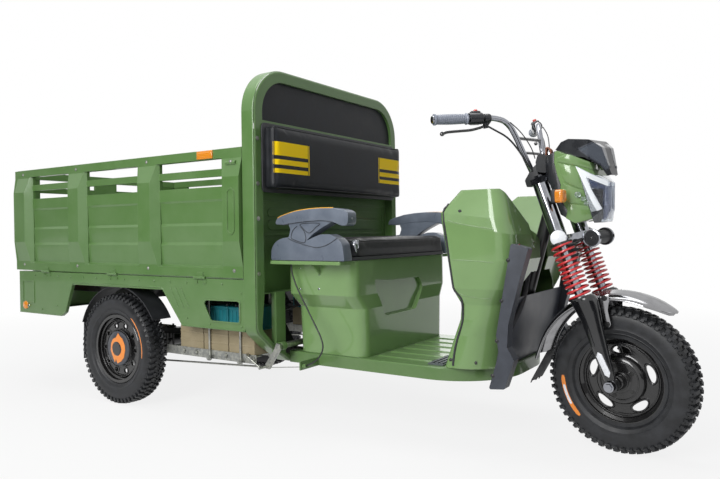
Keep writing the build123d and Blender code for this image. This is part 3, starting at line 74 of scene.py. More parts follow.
def hinge(name: str) -> tuple[Vector, Vector]:
    """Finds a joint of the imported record.

    Args:
        name: the joint's name.

    Returns:
        Its position and its axis, in metres in the model's frame.
    """
    joint = next(j for j in frame["joints"] if j["name"] == name)
    return Vector(joint["pos_m"]), Vector(joint["axis"]).normalized()


def toward(origin: Point, axis: Point, hint: Point = (1, 0, 0)) -> Matrix:
    """Makes a datum whose z runs along an axis.

    Args:
        origin: where the datum stands.
        axis: direction of its z.
        hint: direction that its x is nearest to.

    Returns:
        The datum as a matrix.
    """
    z = Vector(axis).normalized()
    y = z.cross(Vector(hint)).normalized()
    turned = Matrix((y.cross(z), y, z)).transposed().to_4x4()
    return Matrix.Translation(origin) @ turned


def aimed(spot: Point, direction: Point) -> Matrix:
    """Makes a datum at a spot, its z along a direction and its x as upright as it can be."""
    return toward(spot, direction, (0, 0, 1))


def turn_by(degrees: float, axis: str) -> Matrix:
    """Rotation about the x, y or z axis."""
    return Matrix.Rotation(math.radians(degrees), 4, axis)


@dataclass(frozen=True)
class Datums:
    """The places that the vehicle's pieces are measured from."""

    parked: float = -8.0
    rake: float = 19.0

    @property
    def chassis(self) -> Matrix:
        """On the ground under the rear axle."""
        axle, _ = hinge("rear_wheel_right_spin")
        return Matrix.Translation((axle.x, 0, 0)) @ MILLIMETRES

    @property
    def lamp(self) -> Matrix:
        """Upright at the steering head, turned with the parked handlebar."""
        head, axis = hinge("steering")
        turn = Matrix.Rotation(math.radians(self.parked), 4, axis)
        return Matrix.Translation(head) @ turn @ MILLIMETRES

    @property
    def fork(self) -> Matrix:
        """At the steering head with z up along the steering axis."""
        return self.lamp @ turn_by(-self.rake, "Y")

    def wheel(self, joint: str, outward: float = 1.0) -> Matrix:
        """Datum of a wheel: z along its axle.

        Args:
            joint: the wheel's joint.
            outward: 1 where z points along the joint's axis, or -1 against it.

        Returns:
            The datum as a matrix.
        """
        middle, axis = hinge(joint)
        return toward(middle, axis * outward) @ MILLIMETRES


DATUMS = Datums()
CHASSIS = DATUMS.chassis


# ---------------------------------------------------------------- finishes

def colour(hex_code: str) -> tuple[float, float, float, float]:
    """Turns an sRGB hex colour into the linear colour that a shader takes.

    Args:
        hex_code: such as "#607f4f".

    Returns:
        Linear red, green, blue and alpha.
    """
    parts = [int(hex_code[i : i + 2], 16) / 255 for i in (1, 3, 5)]
    linear = [c / 12.92 if c <= 0.04045 else ((c + 0.055) / 1.055) ** 2.4 for c in parts]
    return (*linear, 1.0)


def add(
    tree: Tree,
    kind: str,
    settings: Optional[dict[Any, Any]] = None,
    links: Optional[dict[Any, Source]] = None,
) -> bpy.types.Node:
    """Adds a node to a tree.

    Args:
        tree: tree that gets the node.
        kind: Blender's name of the node's type.
        settings: the node's own properties by name, and the rest its inputs.
        links: inputs, by name or number, with the sockets that feed them; a node stands for
            its first output.

    Returns:
        The node.
    """
    made = tree.nodes.new(kind)
    for key, value in (settings or {}).items():
        if isinstance(key, str) and hasattr(made, key):
            setattr(made, key, value)
        else:
            made.inputs[key].default_value = value
    for key, source in (links or {}).items():
        socket = source.outputs[0] if isinstance(source, bpy.types.Node) else source
        tree.links.new(socket, made.inputs[key])
    return made


def surface(name: str, kind: str = "MATERIAL") -> Any:
    """Starts a material or a world with an empty node tree.

    Args:
        name: of it.
        kind: MATERIAL or WORLD.

    Returns:
        The material or world.
    """
    made = (bpy.data.worlds if kind == "WORLD" else bpy.data.materials).new(name)
    made.use_nodes = True
    made.node_tree.nodes.clear()
    return made


class Look:
    """A material under construction: its tree and its Principled shader."""

    def __init__(self, tree: Tree, tint: str) -> None:
        """Starts with a plain colour.

        Args:
            tree: the material's tree.
            tint: hex colour.
        """
        self.tree, self.tint = tree, tint
        self.shader = add(tree, "ShaderNodeBsdfPrincipled", {"Base Color": colour(tint)})
        add(tree, "ShaderNodeOutputMaterial", links={"Surface": self.shader})

    @property
    def place(self) -> Socket:
        """Position on the piece in metres, from Object coordinates."""
        return add(self.tree, "ShaderNodeTexCoord").outputs["Object"]

    def feed(self, inputs: dict[str, Any]) -> None:
        """Sets the shader's inputs, by name, to numbers or to the sockets that drive them."""
        for key, value in inputs.items():
            if isinstance(value, bpy.types.NodeSocket):
                self.tree.links.new(value, self.shader.inputs[key])
            else:
                self.shader.inputs[key].default_value = value

    def cloud(self, size: float, detail: float = 4.0) -> Socket:
        """Soft random pattern.

        Args:
            size: distance across a patch, in millimetres.
            detail: how many finer patterns lie on it.

        Returns:
            A value from 0 to 1.
        """
        settings = {"Scale": 1000 / size, "Detail": detail, "Roughness": 0.55}
        return add(self.tree, "ShaderNodeTexNoise", settings, {"Vector": self.place}).outputs["Fac"]

    def between(self, driver: Source, span: Point, values: Point) -> Socket:
        """Maps a value from one span onto another and holds it there.

        Args:
            driver: the value.
            span: where it starts and ends.
            values: what that becomes.

        Returns:
            The mapped value.
        """
        settings = {"From Min": span[0], "From Max": span[1], "To Min": values[0], "To Max": values[1]}
        return add(self.tree, "ShaderNodeMapRange", settings, {"Value": driver}).outputs["Result"]

    def tinted(self, base: Union[Socket, str], other: str, share: Source) -> Socket:
        """Mixes a second colour in.

        Args:
            base: a socket, or a hex colour.
            other: hex colour that comes in.
            share: how much of it, from 0 to 1.

        Returns:
            The mixed colour.
        """
        settings, links = {"data_type": "RGBA", 7: colour(other)}, {0: share}
        if isinstance(base, str):
            settings[6] = colour(base)
        else:
            links[6] = base
        return add(self.tree, "ShaderNodeMix", settings, links).outputs[2]

    def relief(
        self, height: Source, depth: float, strength: float = 1.0, normal: Optional[Socket] = None
    ) -> Socket:
        """Gives the surface a relief.

        Args:
            height: the relief, from 0 to 1.
            depth: what 1 stands for, in millimetres.
            strength: how much of it shows.
            normal: a normal that it is laid on.

        Returns:
            The new normal.
        """
        links = {"Height": height} | ({} if normal is None else {"Normal": normal})
        bump = add(self.tree, "ShaderNodeBump", {"Strength": strength, "Distance": depth / 1000}, links)
        self.feed({"Normal": bump.outputs["Normal"]})
        return bump.outputs["Normal"]

    def edges(self, radius: float) -> tuple[Socket, Socket]:
        """Softens the look of sharp edges and finds where they are.

        Args:
            radius: rounding of an edge, in millimetres.

        Returns:
            The softened normal, and a value that is 1 along edges and 0 away from them.
        """
        soft = add(self.tree, "ShaderNodeBevel", {"samples": 4, "Radius": radius / 1000}).outputs[0]
        plain = add(self.tree, "ShaderNodeNewGeometry").outputs["Normal"]
        same = add(self.tree, "ShaderNodeVectorMath", {"operation": "DOT_PRODUCT"}, {0: soft, 1: plain})
        return soft, self.between(same.outputs["Value"], (0.995, 0.86), (0.0, 1.0))


@dataclass(frozen=True)
class Finish:
    """What a surface is made of, and the slot of the record that it belongs to."""

    name: str
    slot: str
    tint: str

    def material(self) -> bpy.types.Material:
        """Returns the finish's material, made the first time that it is asked for."""
        found = bpy.data.materials.get(self.name)
        if found:
            return found
        made = surface(self.name)
        made.diffuse_color = colour(self.tint)
        self.shade(Look(made.node_tree, self.tint))
        return made

    def shade(self, look: Look) -> None:
        """Sets the shader and adds the nodes that drive it."""
        raise NotImplementedError


@dataclass(frozen=True)
class Enamel(Finish):
    """Enamel sprayed on pressed steel: a clear gloss with faint orange peel, thin on edges."""

    gloss: float = 0.3
    coat: float = 0.35
    edge: str = "#90a282"
    peel: float = 7.0
    dust: str = "#8d8a76"

    def shade(self, look: Look) -> None:
        """Paint that dulls in patches, with dust low down and lighter, rubbed edges."""
        patches, scuffs = look.cloud(140), look.cloud(22, 6)
        soft, rubbed = look.edges(2.0)
        shift = look.tinted(self.tint, self.edge, look.between(patches, (0.35, 0.7), (0.0, 0.10)))
        worn = add(
            look.tree, "ShaderNodeMath", {"operation": "MULTIPLY"},
            {0: rubbed, 1: look.between(scuffs, (0.42, 0.62), (0.1, 0.5))},
        )
        shift = look.tinted(shift, self.edge, worn)
        height = add(look.tree, "ShaderNodeSeparateXYZ", links={"Vector": look.place}).outputs["Z"]
        low = look.between(height, (0.55, 0.2), (0.0, 0.16))
        film = add(look.tree, "ShaderNodeMath", {"operation": "MULTIPLY"}, {0: low, 1: scuffs})
        look.feed({
            "Specular IOR Level": 0.3, "Coat Weight": self.coat, "Coat Roughness": 0.06,
            "Base Color": look.tinted(shift, self.dust, film),
            "Roughness": look.between(patches, (0.3, 0.75), (self.gloss, self.gloss + 0.12)),
        })
        look.relief(look.cloud(self.peel, 1), 0.05, 0.35, soft)


@dataclass(frozen=True)
class GlossMoulding(Finish):
    """Gloss-painted ABS moulding: deep even shine, soft sink marks and rounded edges."""

    deep: str = "#5d7a4b"
    worn: str = "#a9bd98"
    gloss: float = 0.16

    def shade(self, look: Look) -> None:
        """Coloured coat that runs a little darker in patches, under a smooth clear coat."""
        soft, rubbed = look.edges(5.0)
        body = look.tinted(self.tint, self.deep, look.between(look.cloud(190, 2), (0.4, 0.75), (0.0, 0.3)))
        look.feed({
            "Specular IOR Level": 0.3, "Coat Weight": 0.6, "Coat Roughness": 0.04,
            "Base Color": look.tinted(body, self.worn, look.between(rubbed, (0.4, 1.0), (0.0, 0.22))),
            "Roughness": look.between(look.cloud(9, 3), (0.3, 0.8), (self.gloss, self.gloss + 0.1)),
        })
        look.relief(look.cloud(60, 1), 0.25, 0.5, soft)


@dataclass(frozen=True)
class GrainedPlastic(Finish):
    """Polypropylene moulded with a leather-like grain: dull, a little chalky where handled."""

    chalk: str = "#6b6e74"
    rough: float = 0.5
    grain: float = 2.2
    haze: float = 0.16

    def shade(self, look: Look) -> None:
        """Cells of grain in relief, with a chalky haze in patches and along edges."""
        haze = look.cloud(70)
        soft, rubbed = look.edges(1.5)
        base = look.tinted(self.tint, self.chalk, look.between(haze, (0.4, 0.8), (0.0, self.haze)))
        look.feed({
            "Specular IOR Level": 0.45,
            "Base Color": look.tinted(base, self.chalk, look.between(rubbed, (0.3, 1.0), (0.0, 0.35))),
            "Roughness": look.between(haze, (0.3, 0.8), (self.rough, self.rough + 0.15)),
        })
        # Real grain is about 0.8 mm; it is laid coarser so that it shows at all.
        cells = add(
            look.tree, "ShaderNodeTexVoronoi", {"feature": "DISTANCE_TO_EDGE", "Scale": 1000 / self.grain},
            {"Vector": look.place},
        )
        look.relief(look.between(cells, (0.0, 0.25), (0.0, 1.0)), 0.12, 0.35, soft)


@dataclass(frozen=True)
class Leatherette(Finish):
    """Vinyl leathercloth over foam: fine pebble grain with soft creases and a low sheen."""

    bloom: str
    pebble: float = 3.2

    def shade(self, look: Look) -> None:
        """Pebbles in relief over broad creases, a little paler where it is stretched."""
        creases = look.cloud(55, 5)
        base = look.tinted(self.tint, self.bloom, look.between(creases, (0.45, 0.8), (0.0, 0.4)))
        look.feed({
            "Specular IOR Level": 0.26, "Sheen Weight": 0.02, "Sheen Roughness": 0.4,
            "Base Color": self.decorated(look, base),
            "Roughness": look.between(creases, (0.3, 0.8), (0.36, 0.56)),
        })
        # Real pebbles are about 1 mm; they are laid coarser so that they show.
        settings = {"Scale": 1000 / self.pebble, "Randomness": 0.9}
        pebbles = add(look.tree, "ShaderNodeTexVoronoi", settings, {"Vector": look.place})
        ground = look.relief(creases, 1.2, 0.35)
        look.relief(look.between(pebbles, (0.1, 0.7), (1.0, 0.0)), 0.22, 0.4, ground)

    def decorated(self, look: Look, base: Socket) -> Socket:
        """The plain cloth has nothing printed on it."""
        return base


@dataclass(frozen=True)
class StripedLeatherette(Leatherette):
    """The same cloth with a block of yellow bands printed near each end."""

    yellow: str = "#ffd80a"
    span: tuple[float, float] = (277.0, 494.0)
    bands: Sequence[tuple[float, float]] = ((1113.0, 1168.0), (1076.0, 1097.5), (1043.0, 1060.5))
    border: tuple[float, float] = (6.0, 9.5)
    front: float = 155.0

    def decorated(self, look: Look, base: Socket) -> Socket:
        """Three yellow bands at each end, the top one broad, beside a thin upright line.

        Args:
            look: the material.
            base: colour of the cloth.

        Returns:
            The cloth's colour with the bands on it.
        """
        tree, maths = look.tree, "ShaderNodeMath"
        place = add(tree, "ShaderNodeSeparateXYZ", links={"Vector": look.place}).outputs
        out = add(tree, maths, {"operation": "ABSOLUTE"}, {0: place["Y"]})
        inner, outer = self.span
        blocks = [((inner + self.border[1], outer), band) for band in self.bands]
        blocks.append(((inner, inner + self.border[0]), (self.bands[-1][0], self.bands[0][1])))
        total = None
        for block in blocks:
            inside = [
                add(tree, maths, {"operation": "COMPARE", 1: (low + high) / 2000, 2: (high - low) / 2000},
                    {0: driver})
                for (low, high), driver in zip(block, (out, place["Z"]))
            ]
            both = add(tree, maths, {"operation": "MULTIPLY"}, {0: inside[0], 1: inside[1]})
            if total is not None:
                both = add(tree, maths, {"operation": "MAXIMUM"}, {0: total, 1: both})
            total = both
        ahead = add(tree, maths, {"operation": "GREATER_THAN", 1: self.front / 1000}, {0: place["X"]})
        printed = add(tree, maths, {"operation": "MULTIPLY"}, {0: total, 1: ahead})
        return look.tinted(base, self.yellow, printed)


@dataclass(frozen=True)
class Rubber(Finish):
    """Moulded rubber of tyres, grips, flap and mat: matt, greyer where dust lies in patches."""

    dust: str
    rough: float = 0.58

    def shade(self, look: Look) -> None:
        """Dust in cloudy patches and a fine uneven surface."""
        patches = look.cloud(45, 6)
        look.feed({
            "Specular IOR Level": 0.42,
            "Base Color": look.tinted(self.tint, self.dust, look.between(patches, (0.4, 0.75), (0.0, 0.28))),
            "Roughness": look.between(patches, (0.3, 0.7), (self.rough - 0.1, self.rough + 0.14)),
        })
        look.relief(look.cloud(3, 3), 0.15, 0.5)


@dataclass(frozen=True)
class Plating(Finish):
    """Polished or brushed metal: chrome, stainless or zinc, smudged where it is handled."""

    rough: float = 0.07
    smudge: float = 0.12
    brushed: float = 0.0
    dull: str = "#56585e"
    spangle: float = 0.0

    def shade(self, look: Look) -> None:
        """Smudges in the shine, with brush lines or zinc flowers where the metal has them."""
        smudges = look.cloud(26, 5)
        base = look.tinted(self.tint, self.dull, look.between(smudges, (0.4, 0.8), (0.0, 0.4)))
        if self.spangle:
            settings = {"Scale": 1000 / self.spangle}
            flowers = add(look.tree, "ShaderNodeTexVoronoi", settings, {"Vector": look.place})
            tone = add(look.tree, "ShaderNodeSeparateColor", links={"Color": flowers.outputs["Color"]})
            base = look.tinted(base, "#6d7074", look.between(tone, (0.0, 1.0), (0.0, 0.6)))
        look.feed({
            "Metallic": 1.0, "Base Color": base,
            "Roughness": look.between(smudges, (0.4, 0.8), (self.rough, self.rough + self.smudge)),
        })
        lines: Source = look.cloud(12, 2)
        if self.brushed:
            turned = add(look.tree, "ShaderNodeMapping", {"Scale": (30, 400, 30)}, {"Vector": look.place})
            lines = add(look.tree, "ShaderNodeTexNoise", {"Scale": 8.0, "Detail": 3.0}, {"Vector": turned})
        look.relief(lines, 0.08, 0.08 + self.brushed)


@dataclass(frozen=True)
class ClearPlastic(Finish):
    """Clear or coloured acrylic of a lamp: glossy, lets light through, faintly fluted inside."""

    through: float = 0.9
    rough: float = 0.03
    flute: float = 0.0
    glow: float = 0.0

    def shade(self, look: Look) -> None:
        """A hard shine over a body that lets light through, with flutes where it has them."""
        hair = look.cloud(15, 4)
        look.feed({
            "Transmission Weight": self.through, "IOR": 1.49, "Coat Weight": 0.5, "Coat Roughness": 0.02,
            "Roughness": look.between(hair, (0.4, 0.8), (self.rough, self.rough + 0.05)),
        })
        # Painted glow: the lens gives off light of its own though no lamp is lit in it. The amber lens finish
        # also makes the rail reflectors glow, and they hold no lamp.
        if self.glow:
            look.feed({"Emission Color": colour(self.tint), "Emission Strength": self.glow})
        if self.flute:
            settings = {"bands_direction": "Z", "Scale": 314 / self.flute}
            look.relief(add(look.tree, "ShaderNodeTexWave", settings, {"Vector": look.place}).outputs["Fac"],
                        0.6, 0.6)
        else:
            look.relief(hair, 0.05, 0.2)


@dataclass(frozen=True)
class Coated(Finish):
    """Plain sprayed or dipped coat, for small parts: cables, springs, labels and reflectors."""

    rough: float
    coat: float
    fleck: str
    amount: float
    size: float = 12.0

    def shade(self, look: Look) -> None:
        """Faint dirt in patches over an even coat that is not quite smooth."""
        dirt = look.cloud(self.size, 5)
        stain = look.between(dirt, (0.45, 0.8), (0.0, self.amount))
        look.feed({
            "Coat Weight": self.coat, "Coat Roughness": 0.08,
            "Base Color": look.tinted(self.tint, self.fleck, stain),
            "Roughness": look.between(dirt, (0.3, 0.8), (self.rough, self.rough + 0.15)),
        })
        look.relief(dirt, 0.1, 0.4)


class Finishes:
    """The finishes of this vehicle, by the part that wears them."""

    ENAMEL = Enamel("green_enamel", "green_paint", "#52743e")
    MOULDING = GlossMoulding("green_gloss_moulding", "green_moulding", "#74945d")
    FRAME_PAINT = Enamel(
        "black_chassis_paint", "black_paint", "#0e0f10", 0.34, 0.3, "#5c5d5f", dust="#6d6a62")
    WHEEL_PAINT = Enamel(
        "black_wheel_enamel", "black_paint", "#0b0b0d", 0.22, 0.8, "#4a4a4e", dust="#55534f")
    FORK_PAINT = Enamel(
        "black_fork_enamel", "black_paint", "#0b0c0e", 0.18, 0.9, "#505258", dust="#3c3b3a")
    BLACK_PLASTIC = GrainedPlastic("black_grained_plastic", "black_plastic", "#1e1f22")
    GUARD_PLASTIC = GrainedPlastic(
        "slate_grained_plastic", "grey_plastic", "#31353d", "#666c78", 0.36, 2.6, 0.2)
    VISOR_PLASTIC = GrainedPlastic(
        "smooth_black_plastic", "black_plastic", "#1d1f23", "#4c4f57", 0.22, 5.0, 0.1)
    ARMREST = GrainedPlastic("grey_armrest_plastic", "grey_plastic", "#5d6571", "#9aa3b0", 0.26, 3.0, 0.2)
    LEATHER = Leatherette("black_leathercloth", "black_leather", "#121316", "#2c2f35")
    STRIPED = StripedLeatherette("striped_black_leathercloth", "black_leather", "#15171b", "#2c3037")
    PANEL_VINYL = Leatherette("black_panel_vinyl", "black_leather", "#15171b", "#2c3037")
    TYRE = Rubber("tyre_rubber", "tyre", "#1a1b1d", "#4b4d52", 0.46)
    FLAP = Rubber("flap_rubber", "black_plastic", "#26272a", "#63656a", 0.7)
    GRIP = Rubber("handlebar_grip_rubber", "grip_rubber", "#7c828e", "#b4b9c4", 0.36)
    MAT = Rubber("slotted_mat_rubber", "black_plastic", "#4c5254", "#8b9394", 0.55)
    CHROME = Plating("polished_chrome", "chrome", "#9b9da3")
    STAINLESS = Plating("stainless_sheet", "stainless", "#9a9a9c", 0.14, 0.14, 0.2, "#6c6b6c")
    ZINC = Plating("zinc_plated_steel", "stainless", "#b2b3ab", 0.36, 0.2, 0.05, "#7d7c74", 9.0)
    SPRING_RED = Coated("red_powder_coat", "red_paint", "#cf2f33", 0.28, 0.6, "#7c1d20", 0.2)
    BATTERY = GrainedPlastic("teal_battery_case", "teal_plastic", "#0f6b74", "#4f9aa1", 0.42, 3.0, 0.15)
    BATTERY_LOW = GrainedPlastic("tan_battery_case", "teal_plastic", "#8b7f63", "#c9bca6", 0.5, 3.0, 0.2)
    LENS = ClearPlastic("clear_lamp_lens", "lens", "#e9eef5", 0.96, 0.015)
    AMBER = ClearPlastic("amber_lamp_lens", "orange_lens", "#f2941c", 0.35, 0.08, 7.0, 0.12)
    RED_LENS = ClearPlastic("red_lamp_lens", "red_lens", "#c2141b", 0.3, 0.08, 8.0, 0.05)
    SMOKE = ClearPlastic("smoked_visor_window", "grey_plastic", "#7b828d", 0.55, 0.05)
    LIGHT_GUIDE = ClearPlastic("white_light_guide", "lens", "#f4f8fb", 0.25, 0.12, 0.0, 0.25)
    LAMP_BLUE = Plating("blue_lamp_reflector", "chrome", "#2b3a5c", 0.1, 0.1, 0.0, "#1a2238")
    ORANGE = Coated("orange_reflective_film", "orange_lens", "#ee8a22", 0.25, 0.6, "#c8641a", 0.3, 5.0)
    WHITE = Coated("white_reflective_film", "lens", "#e6e8ec", 0.3, 0.5, "#c3c6cd", 0.4, 5.0)
    DARK_CAP = Coated("dark_grey_cap", "grey_plastic", "#3c3f46", 0.35, 0.2, "#5a5d64", 0.3, 20.0)
    YELLOW = Coated("yellow_trim_line", "orange_lens", "#e8a826", 0.35, 0.2, "#b47c18", 0.3)
    MAROON = Coated("maroon_trim_line", "red_paint", "#6d2228", 0.35, 0.3, "#40161a", 0.3)
    COPPER_WIRE = Coated("brown_cable_sheath", "black_plastic", "#96604a", 0.45, 0.0, "#5c3a2e", 0.4)
    BLACK_CABLE = Coated("black_cable_sheath", "black_plastic", "#1b1c1e", 0.42, 0.0, "#55565a", 0.3)
    SWITCH_RED = Coated("red_switch_cap", "red_paint", "#c33a2c", 0.35, 0.3, "#8a2018", 0.3)


# ---------------------------------------------------------------- forms

def linked(name: str, data: Any) -> Thing:
    """Adds an object with its data to the scene."""
    made = bpy.data.objects.new(name, data)
    bpy.context.scene.collection.objects.link(made)
    return made


def settle(made: Thing, finish: Finish, body: str, *stands_for: str, slot: str = "") -> Thing:
    """Dresses a finished piece and puts it on a body.

    Args:
        made: the piece.
        finish: what it is made of.
        body: that it moves with.
        stands_for: CAD nodes that it replaces.
        slot: not used.

    Returns:
        The piece.
    """
    if not made.data.materials:
        made.data.materials.append(finish.material())
    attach(made, body)
    if stands_for:
        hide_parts(*stands_for)
    LOG.info("%s on %s, %d faces", made.name, body, len(getattr(made.data, "polygons", ())))
    return made


class Form:
    """A mesh under construction, in millimetres from a datum."""

    def __init__(self) -> None:
        """Starts with nothing."""
        self.mesh = bmesh.new()

    def _face(self, corners: Sequence[bmesh.types.BMVert]) -> None:
        """Adds a face if its corners differ."""
        kept = [v for i, v in enumerate(corners) if v is not corners[i - 1]]
        if len(kept) > 2:
            self.mesh.faces.new(kept)

    def skin(self, rows: Sequence[Sequence[Point]], closed: bool = False, looped: bool = False) -> "Form":
        """Joins rows of points by quads.

        Args:
            rows: rows of as many points each.
            closed: joins each row's end to its start.
            looped: joins the last row to the first.

        Returns:
            The form.
        """
        made = [[self.mesh.verts.new(p) for p in row] for row in rows]
        if looped:
            made.append(made[0])
        for first, second in zip(made, made[1:]):
            count = len(first)
            for i in range(count if closed else count - 1):
                j = (i + 1) % count
                self._face([first[i], first[j], second[j], second[i]])
        self.ends = (made[0], made[-1])
        return self

    def cap(self) -> "Form":
        """Closes both ends of the last closed skin."""
        self._face(self.ends[0])
        self._face(self.ends[1])
        return self

    def lathe(self, profile: Outline, steps: int = 64, looped: bool = True) -> "Form":
        """Turns a profile about z.

        Args:
            profile: (radius, height) points; radii above 0 if looped.
            steps: points round the axis.
            looped: joins the profile's end to its start.

        Returns:
            The form.
        """
        turns = [2 * math.pi * i / steps for i in range(steps)]
        rows = [[(r * math.cos(t), r * math.sin(t), h) for t in turns] for r, h in profile]
        return self.skin(rows, closed=True, looped=looped)

    def tube(self, path: Sequence[Point], radius: float, sides: int = 12) -> "Form":
        """Runs a round section along a path and closes its ends.

        Args:
            path: the points that it goes through.
            radius: of the section.
            sides: of the section.

        Returns:
            The form.
        """
        points = [Vector(p) for p in path]
        normal = None
        rows = []
        for i, point in enumerate(points):
            ahead = (points[min(i + 1, len(points) - 1)] - points[max(i - 1, 0)]).normalized()
            if normal is None:
                normal = ahead.orthogonal().normalized()
            normal = (normal - ahead * normal.dot(ahead)).normalized()
            side = ahead.cross(normal)
            rows.append([
                point + (normal * math.cos(t) + side * math.sin(t)) * radius
                for t in (2 * math.pi * k / sides for k in range(sides))
            ])
        return self.skin(rows, closed=True).cap()

    def prism(self, outline: Outline, low: float, high: float, plane: Matrix = Matrix()) -> "Form":
        """Extrudes an outline.

        Args:
            outline: (x, y) corners on the plane.
            low: where the prism starts along the plane's z.
            high: where it ends.
            plane: the plane, from the datum.

        Returns:
            The form.
        """
        rows = [[plane @ Vector((x, y, z)) for x, y in outline] for z in (low, high)]
        return self.skin(rows, closed=True).cap()

    def box(self, low: Point, high: Point) -> "Form":
        """Adds a block between two corners."""
        (x0, y0, z0), (x1, y1, z1) = low, high
        return self.prism([(x0, y0), (x1, y0), (x1, y1), (x0, y1)], z0, z1)

    def bevel(self, width: float, segments: int = 2, sharper: float = 30.0) -> "Form":
        """Rounds the edges that turn by more than an angle.

        Args:
            width: of the rounding.
            segments: faces across it.
            sharper: the angle in degrees.

        Returns:
            The form.
        """
        bmesh.ops.recalc_face_normals(self.mesh, faces=self.mesh.faces)
        limit = math.radians(sharper)
        edges = [e for e in self.mesh.edges if len(e.link_faces) == 2 and e.calc_face_angle(0) > limit]
        bmesh.ops.bevel(
            self.mesh, geom=edges, offset=width, segments=segments, profile=0.5, affect="EDGES",
            clamp_overlap=True,
        )
        return self

    def moved(self, matrix: Matrix) -> "Form":
        """Moves everything made so far."""
        self.mesh.transform(matrix)
        return self

    def mirrored(self) -> "Form":
        """Adds the same again on the vehicle's other side."""
        copy = self.mesh.copy()
        copy.transform(Matrix.Diagonal((1, -1, 1, 1)))
        other = Form()
        other.mesh.free()
        other.mesh = copy
        return self.join(other)

    def within(self, other: "Form", operation: str = "INTERSECT") -> "Form":
        """Keeps what lies inside another form, or outside it.

        Args:
            other: the other form.
            operation: INTERSECT, or DIFFERENCE for what lies outside.

        Returns:
            The form.
        """
        holders = []
        for form in (self, other):
            bmesh.ops.remove_doubles(form.mesh, verts=form.mesh.verts, dist=0.01)
            bmesh.ops.recalc_face_normals(form.mesh, faces=form.mesh.faces)
            mesh = bpy.data.meshes.new("spare")
            form.mesh.to_mesh(mesh)
            holders.append(linked("spare", mesh))
        cut = holders[0].modifiers.new("within", "BOOLEAN")
        cut.operation, cut.solver, cut.object = operation, "EXACT", holders[1]
        kept = bpy.data.meshes.new_from_object(
            holders[0].evaluated_get(bpy.context.evaluated_depsgraph_get())
        )
        self.mesh.clear()
        self.mesh.from_mesh(kept)
        bmesh.ops.dissolve_limit(
            self.mesh, angle_limit=math.radians(1), verts=self.mesh.verts, edges=self.mesh.edges
        )
        for holder in holders:
            bpy.data.objects.remove(holder)
        return self

    def join(self, other: "Form") -> "Form":
        """Takes in another form."""
        spare = bpy.data.meshes.new("spare")
        other.mesh.to_mesh(spare)
        self.mesh.from_mesh(spare)
        bpy.data.meshes.remove(spare)
        return self

    def finished(self, name: str, datum: Matrix, crease: float = 32.0) -> Thing:
        """Makes the object, in metres in the model's frame.

        Args:
            name: of the piece.
            datum: that the form is measured from.
            crease: edges that turn by more degrees than this look sharp.

        Returns:
            The object, at the origin.
        """
        mesh = bpy.data.meshes.new(name)
        bmesh.ops.remove_doubles(self.mesh, verts=self.mesh.verts, dist=0.01)
        self.mesh.transform(datum)
        bmesh.ops.recalc_face_normals(self.mesh, faces=self.mesh.faces)
        self.mesh.to_mesh(mesh)
        self.mesh.free()
        mesh.shade_smooth()
        mesh.set_sharp_from_angle(angle=math.radians(crease))
        return linked(name, mesh)

    def put(
        self, name: str, finish: Finish, body: str = "chassis", datum: Matrix = CHASSIS,
        stands_for: Sequence[str] = (), slot: str = "", crease: float = 32.0,
    ) -> Thing:
        """Finishes the form and settles it on a body.

        Args:
            name: of the piece.
            finish: what it is made of.
            body: that it moves with.
            datum: that the form is measured from.
            stands_for: CAD nodes that it replaces.
            slot: not used; it is passed to settle, which does not read it.
            crease: edges that turn by more degrees than this look sharp.

        Returns:
            The piece.
        """
        return settle(self.finished(name, datum, crease), finish, body, *stands_for, slot=slot)


def copy_of(node: str) -> Form:
    """Copies a CAD node's mesh, merged, in millimetres in the model's frame.

    Args:
        node: the node's name.

    Returns:
        The copy as a form, to be finished with MILLIMETRES as its datum.
    """
    form = Form()
    form.mesh.from_mesh(frame["nodes"][node].data)
    form.mesh.transform(Matrix.Scale(1000, 4))
    bmesh.ops.remove_doubles(form.mesh, verts=form.mesh.verts, dist=0.01)
    return form


def smooth(path: Sequence[Point], steps: int = 8) -> list[Vector]:
    """Rounds a path through its points.

    Args:
        path: the points.
        steps: pieces between two of them.

    Returns:
        The points of the rounded path.
    """
    points = [Vector(p) for p in path]
    points = [points[0] * 2 - points[1], *points, points[-1] * 2 - points[-2]]
    made = []
    for a, b, c, d in zip(points, points[1:], points[2:], points[3:]):
        for k in range(steps):
            t = k / steps
            made.append(
                0.5 * ((2 * b) + (c - a) * t + (2 * a - 5 * b + 4 * c - d) * t * t
                       + (3 * b - a - 3 * c + d) * t ** 3)
            )
    return [*made, points[-2]]


def round_outline(corners: Outline, radius: float, steps: int = 4) -> list[tuple[float, float]]:
    """Rounds the corners of an outline.

    Args:
        corners: of the outline.
        radius: of each corner, or less where its sides are short.
        steps: pieces of each corner.

    Returns:
        The rounded outline.
    """
    points = [Vector(c) for c in corners]
    made = []
    for i, point in enumerate(points):
        before, after = points[i - 1] - point, points[(i + 1) % len(points)] - point
        reach = min(radius, before.length * 0.45, after.length * 0.45)
        start, end = point + before.normalized() * reach, point + after.normalized() * reach
        for k in range(steps + 1):
            t = k / steps
            spot = start * (1 - t) ** 2 + point * (2 * t * (1 - t)) + end * t * t
            made.append((spot.x, spot.y))
    return made


def dress(finish: Finish, *nodes: str) -> None:
    """Gives CAD nodes a finish.

    Args:
        finish: what they are made of.
        nodes: their names.
    """
    for node in nodes:
        for holder in frame["nodes"][node].material_slots:
            holder.material = finish.material()
        LOG.info("%s wears %s", node, finish.name)


# ---------------------------------------------------------------- what repeats

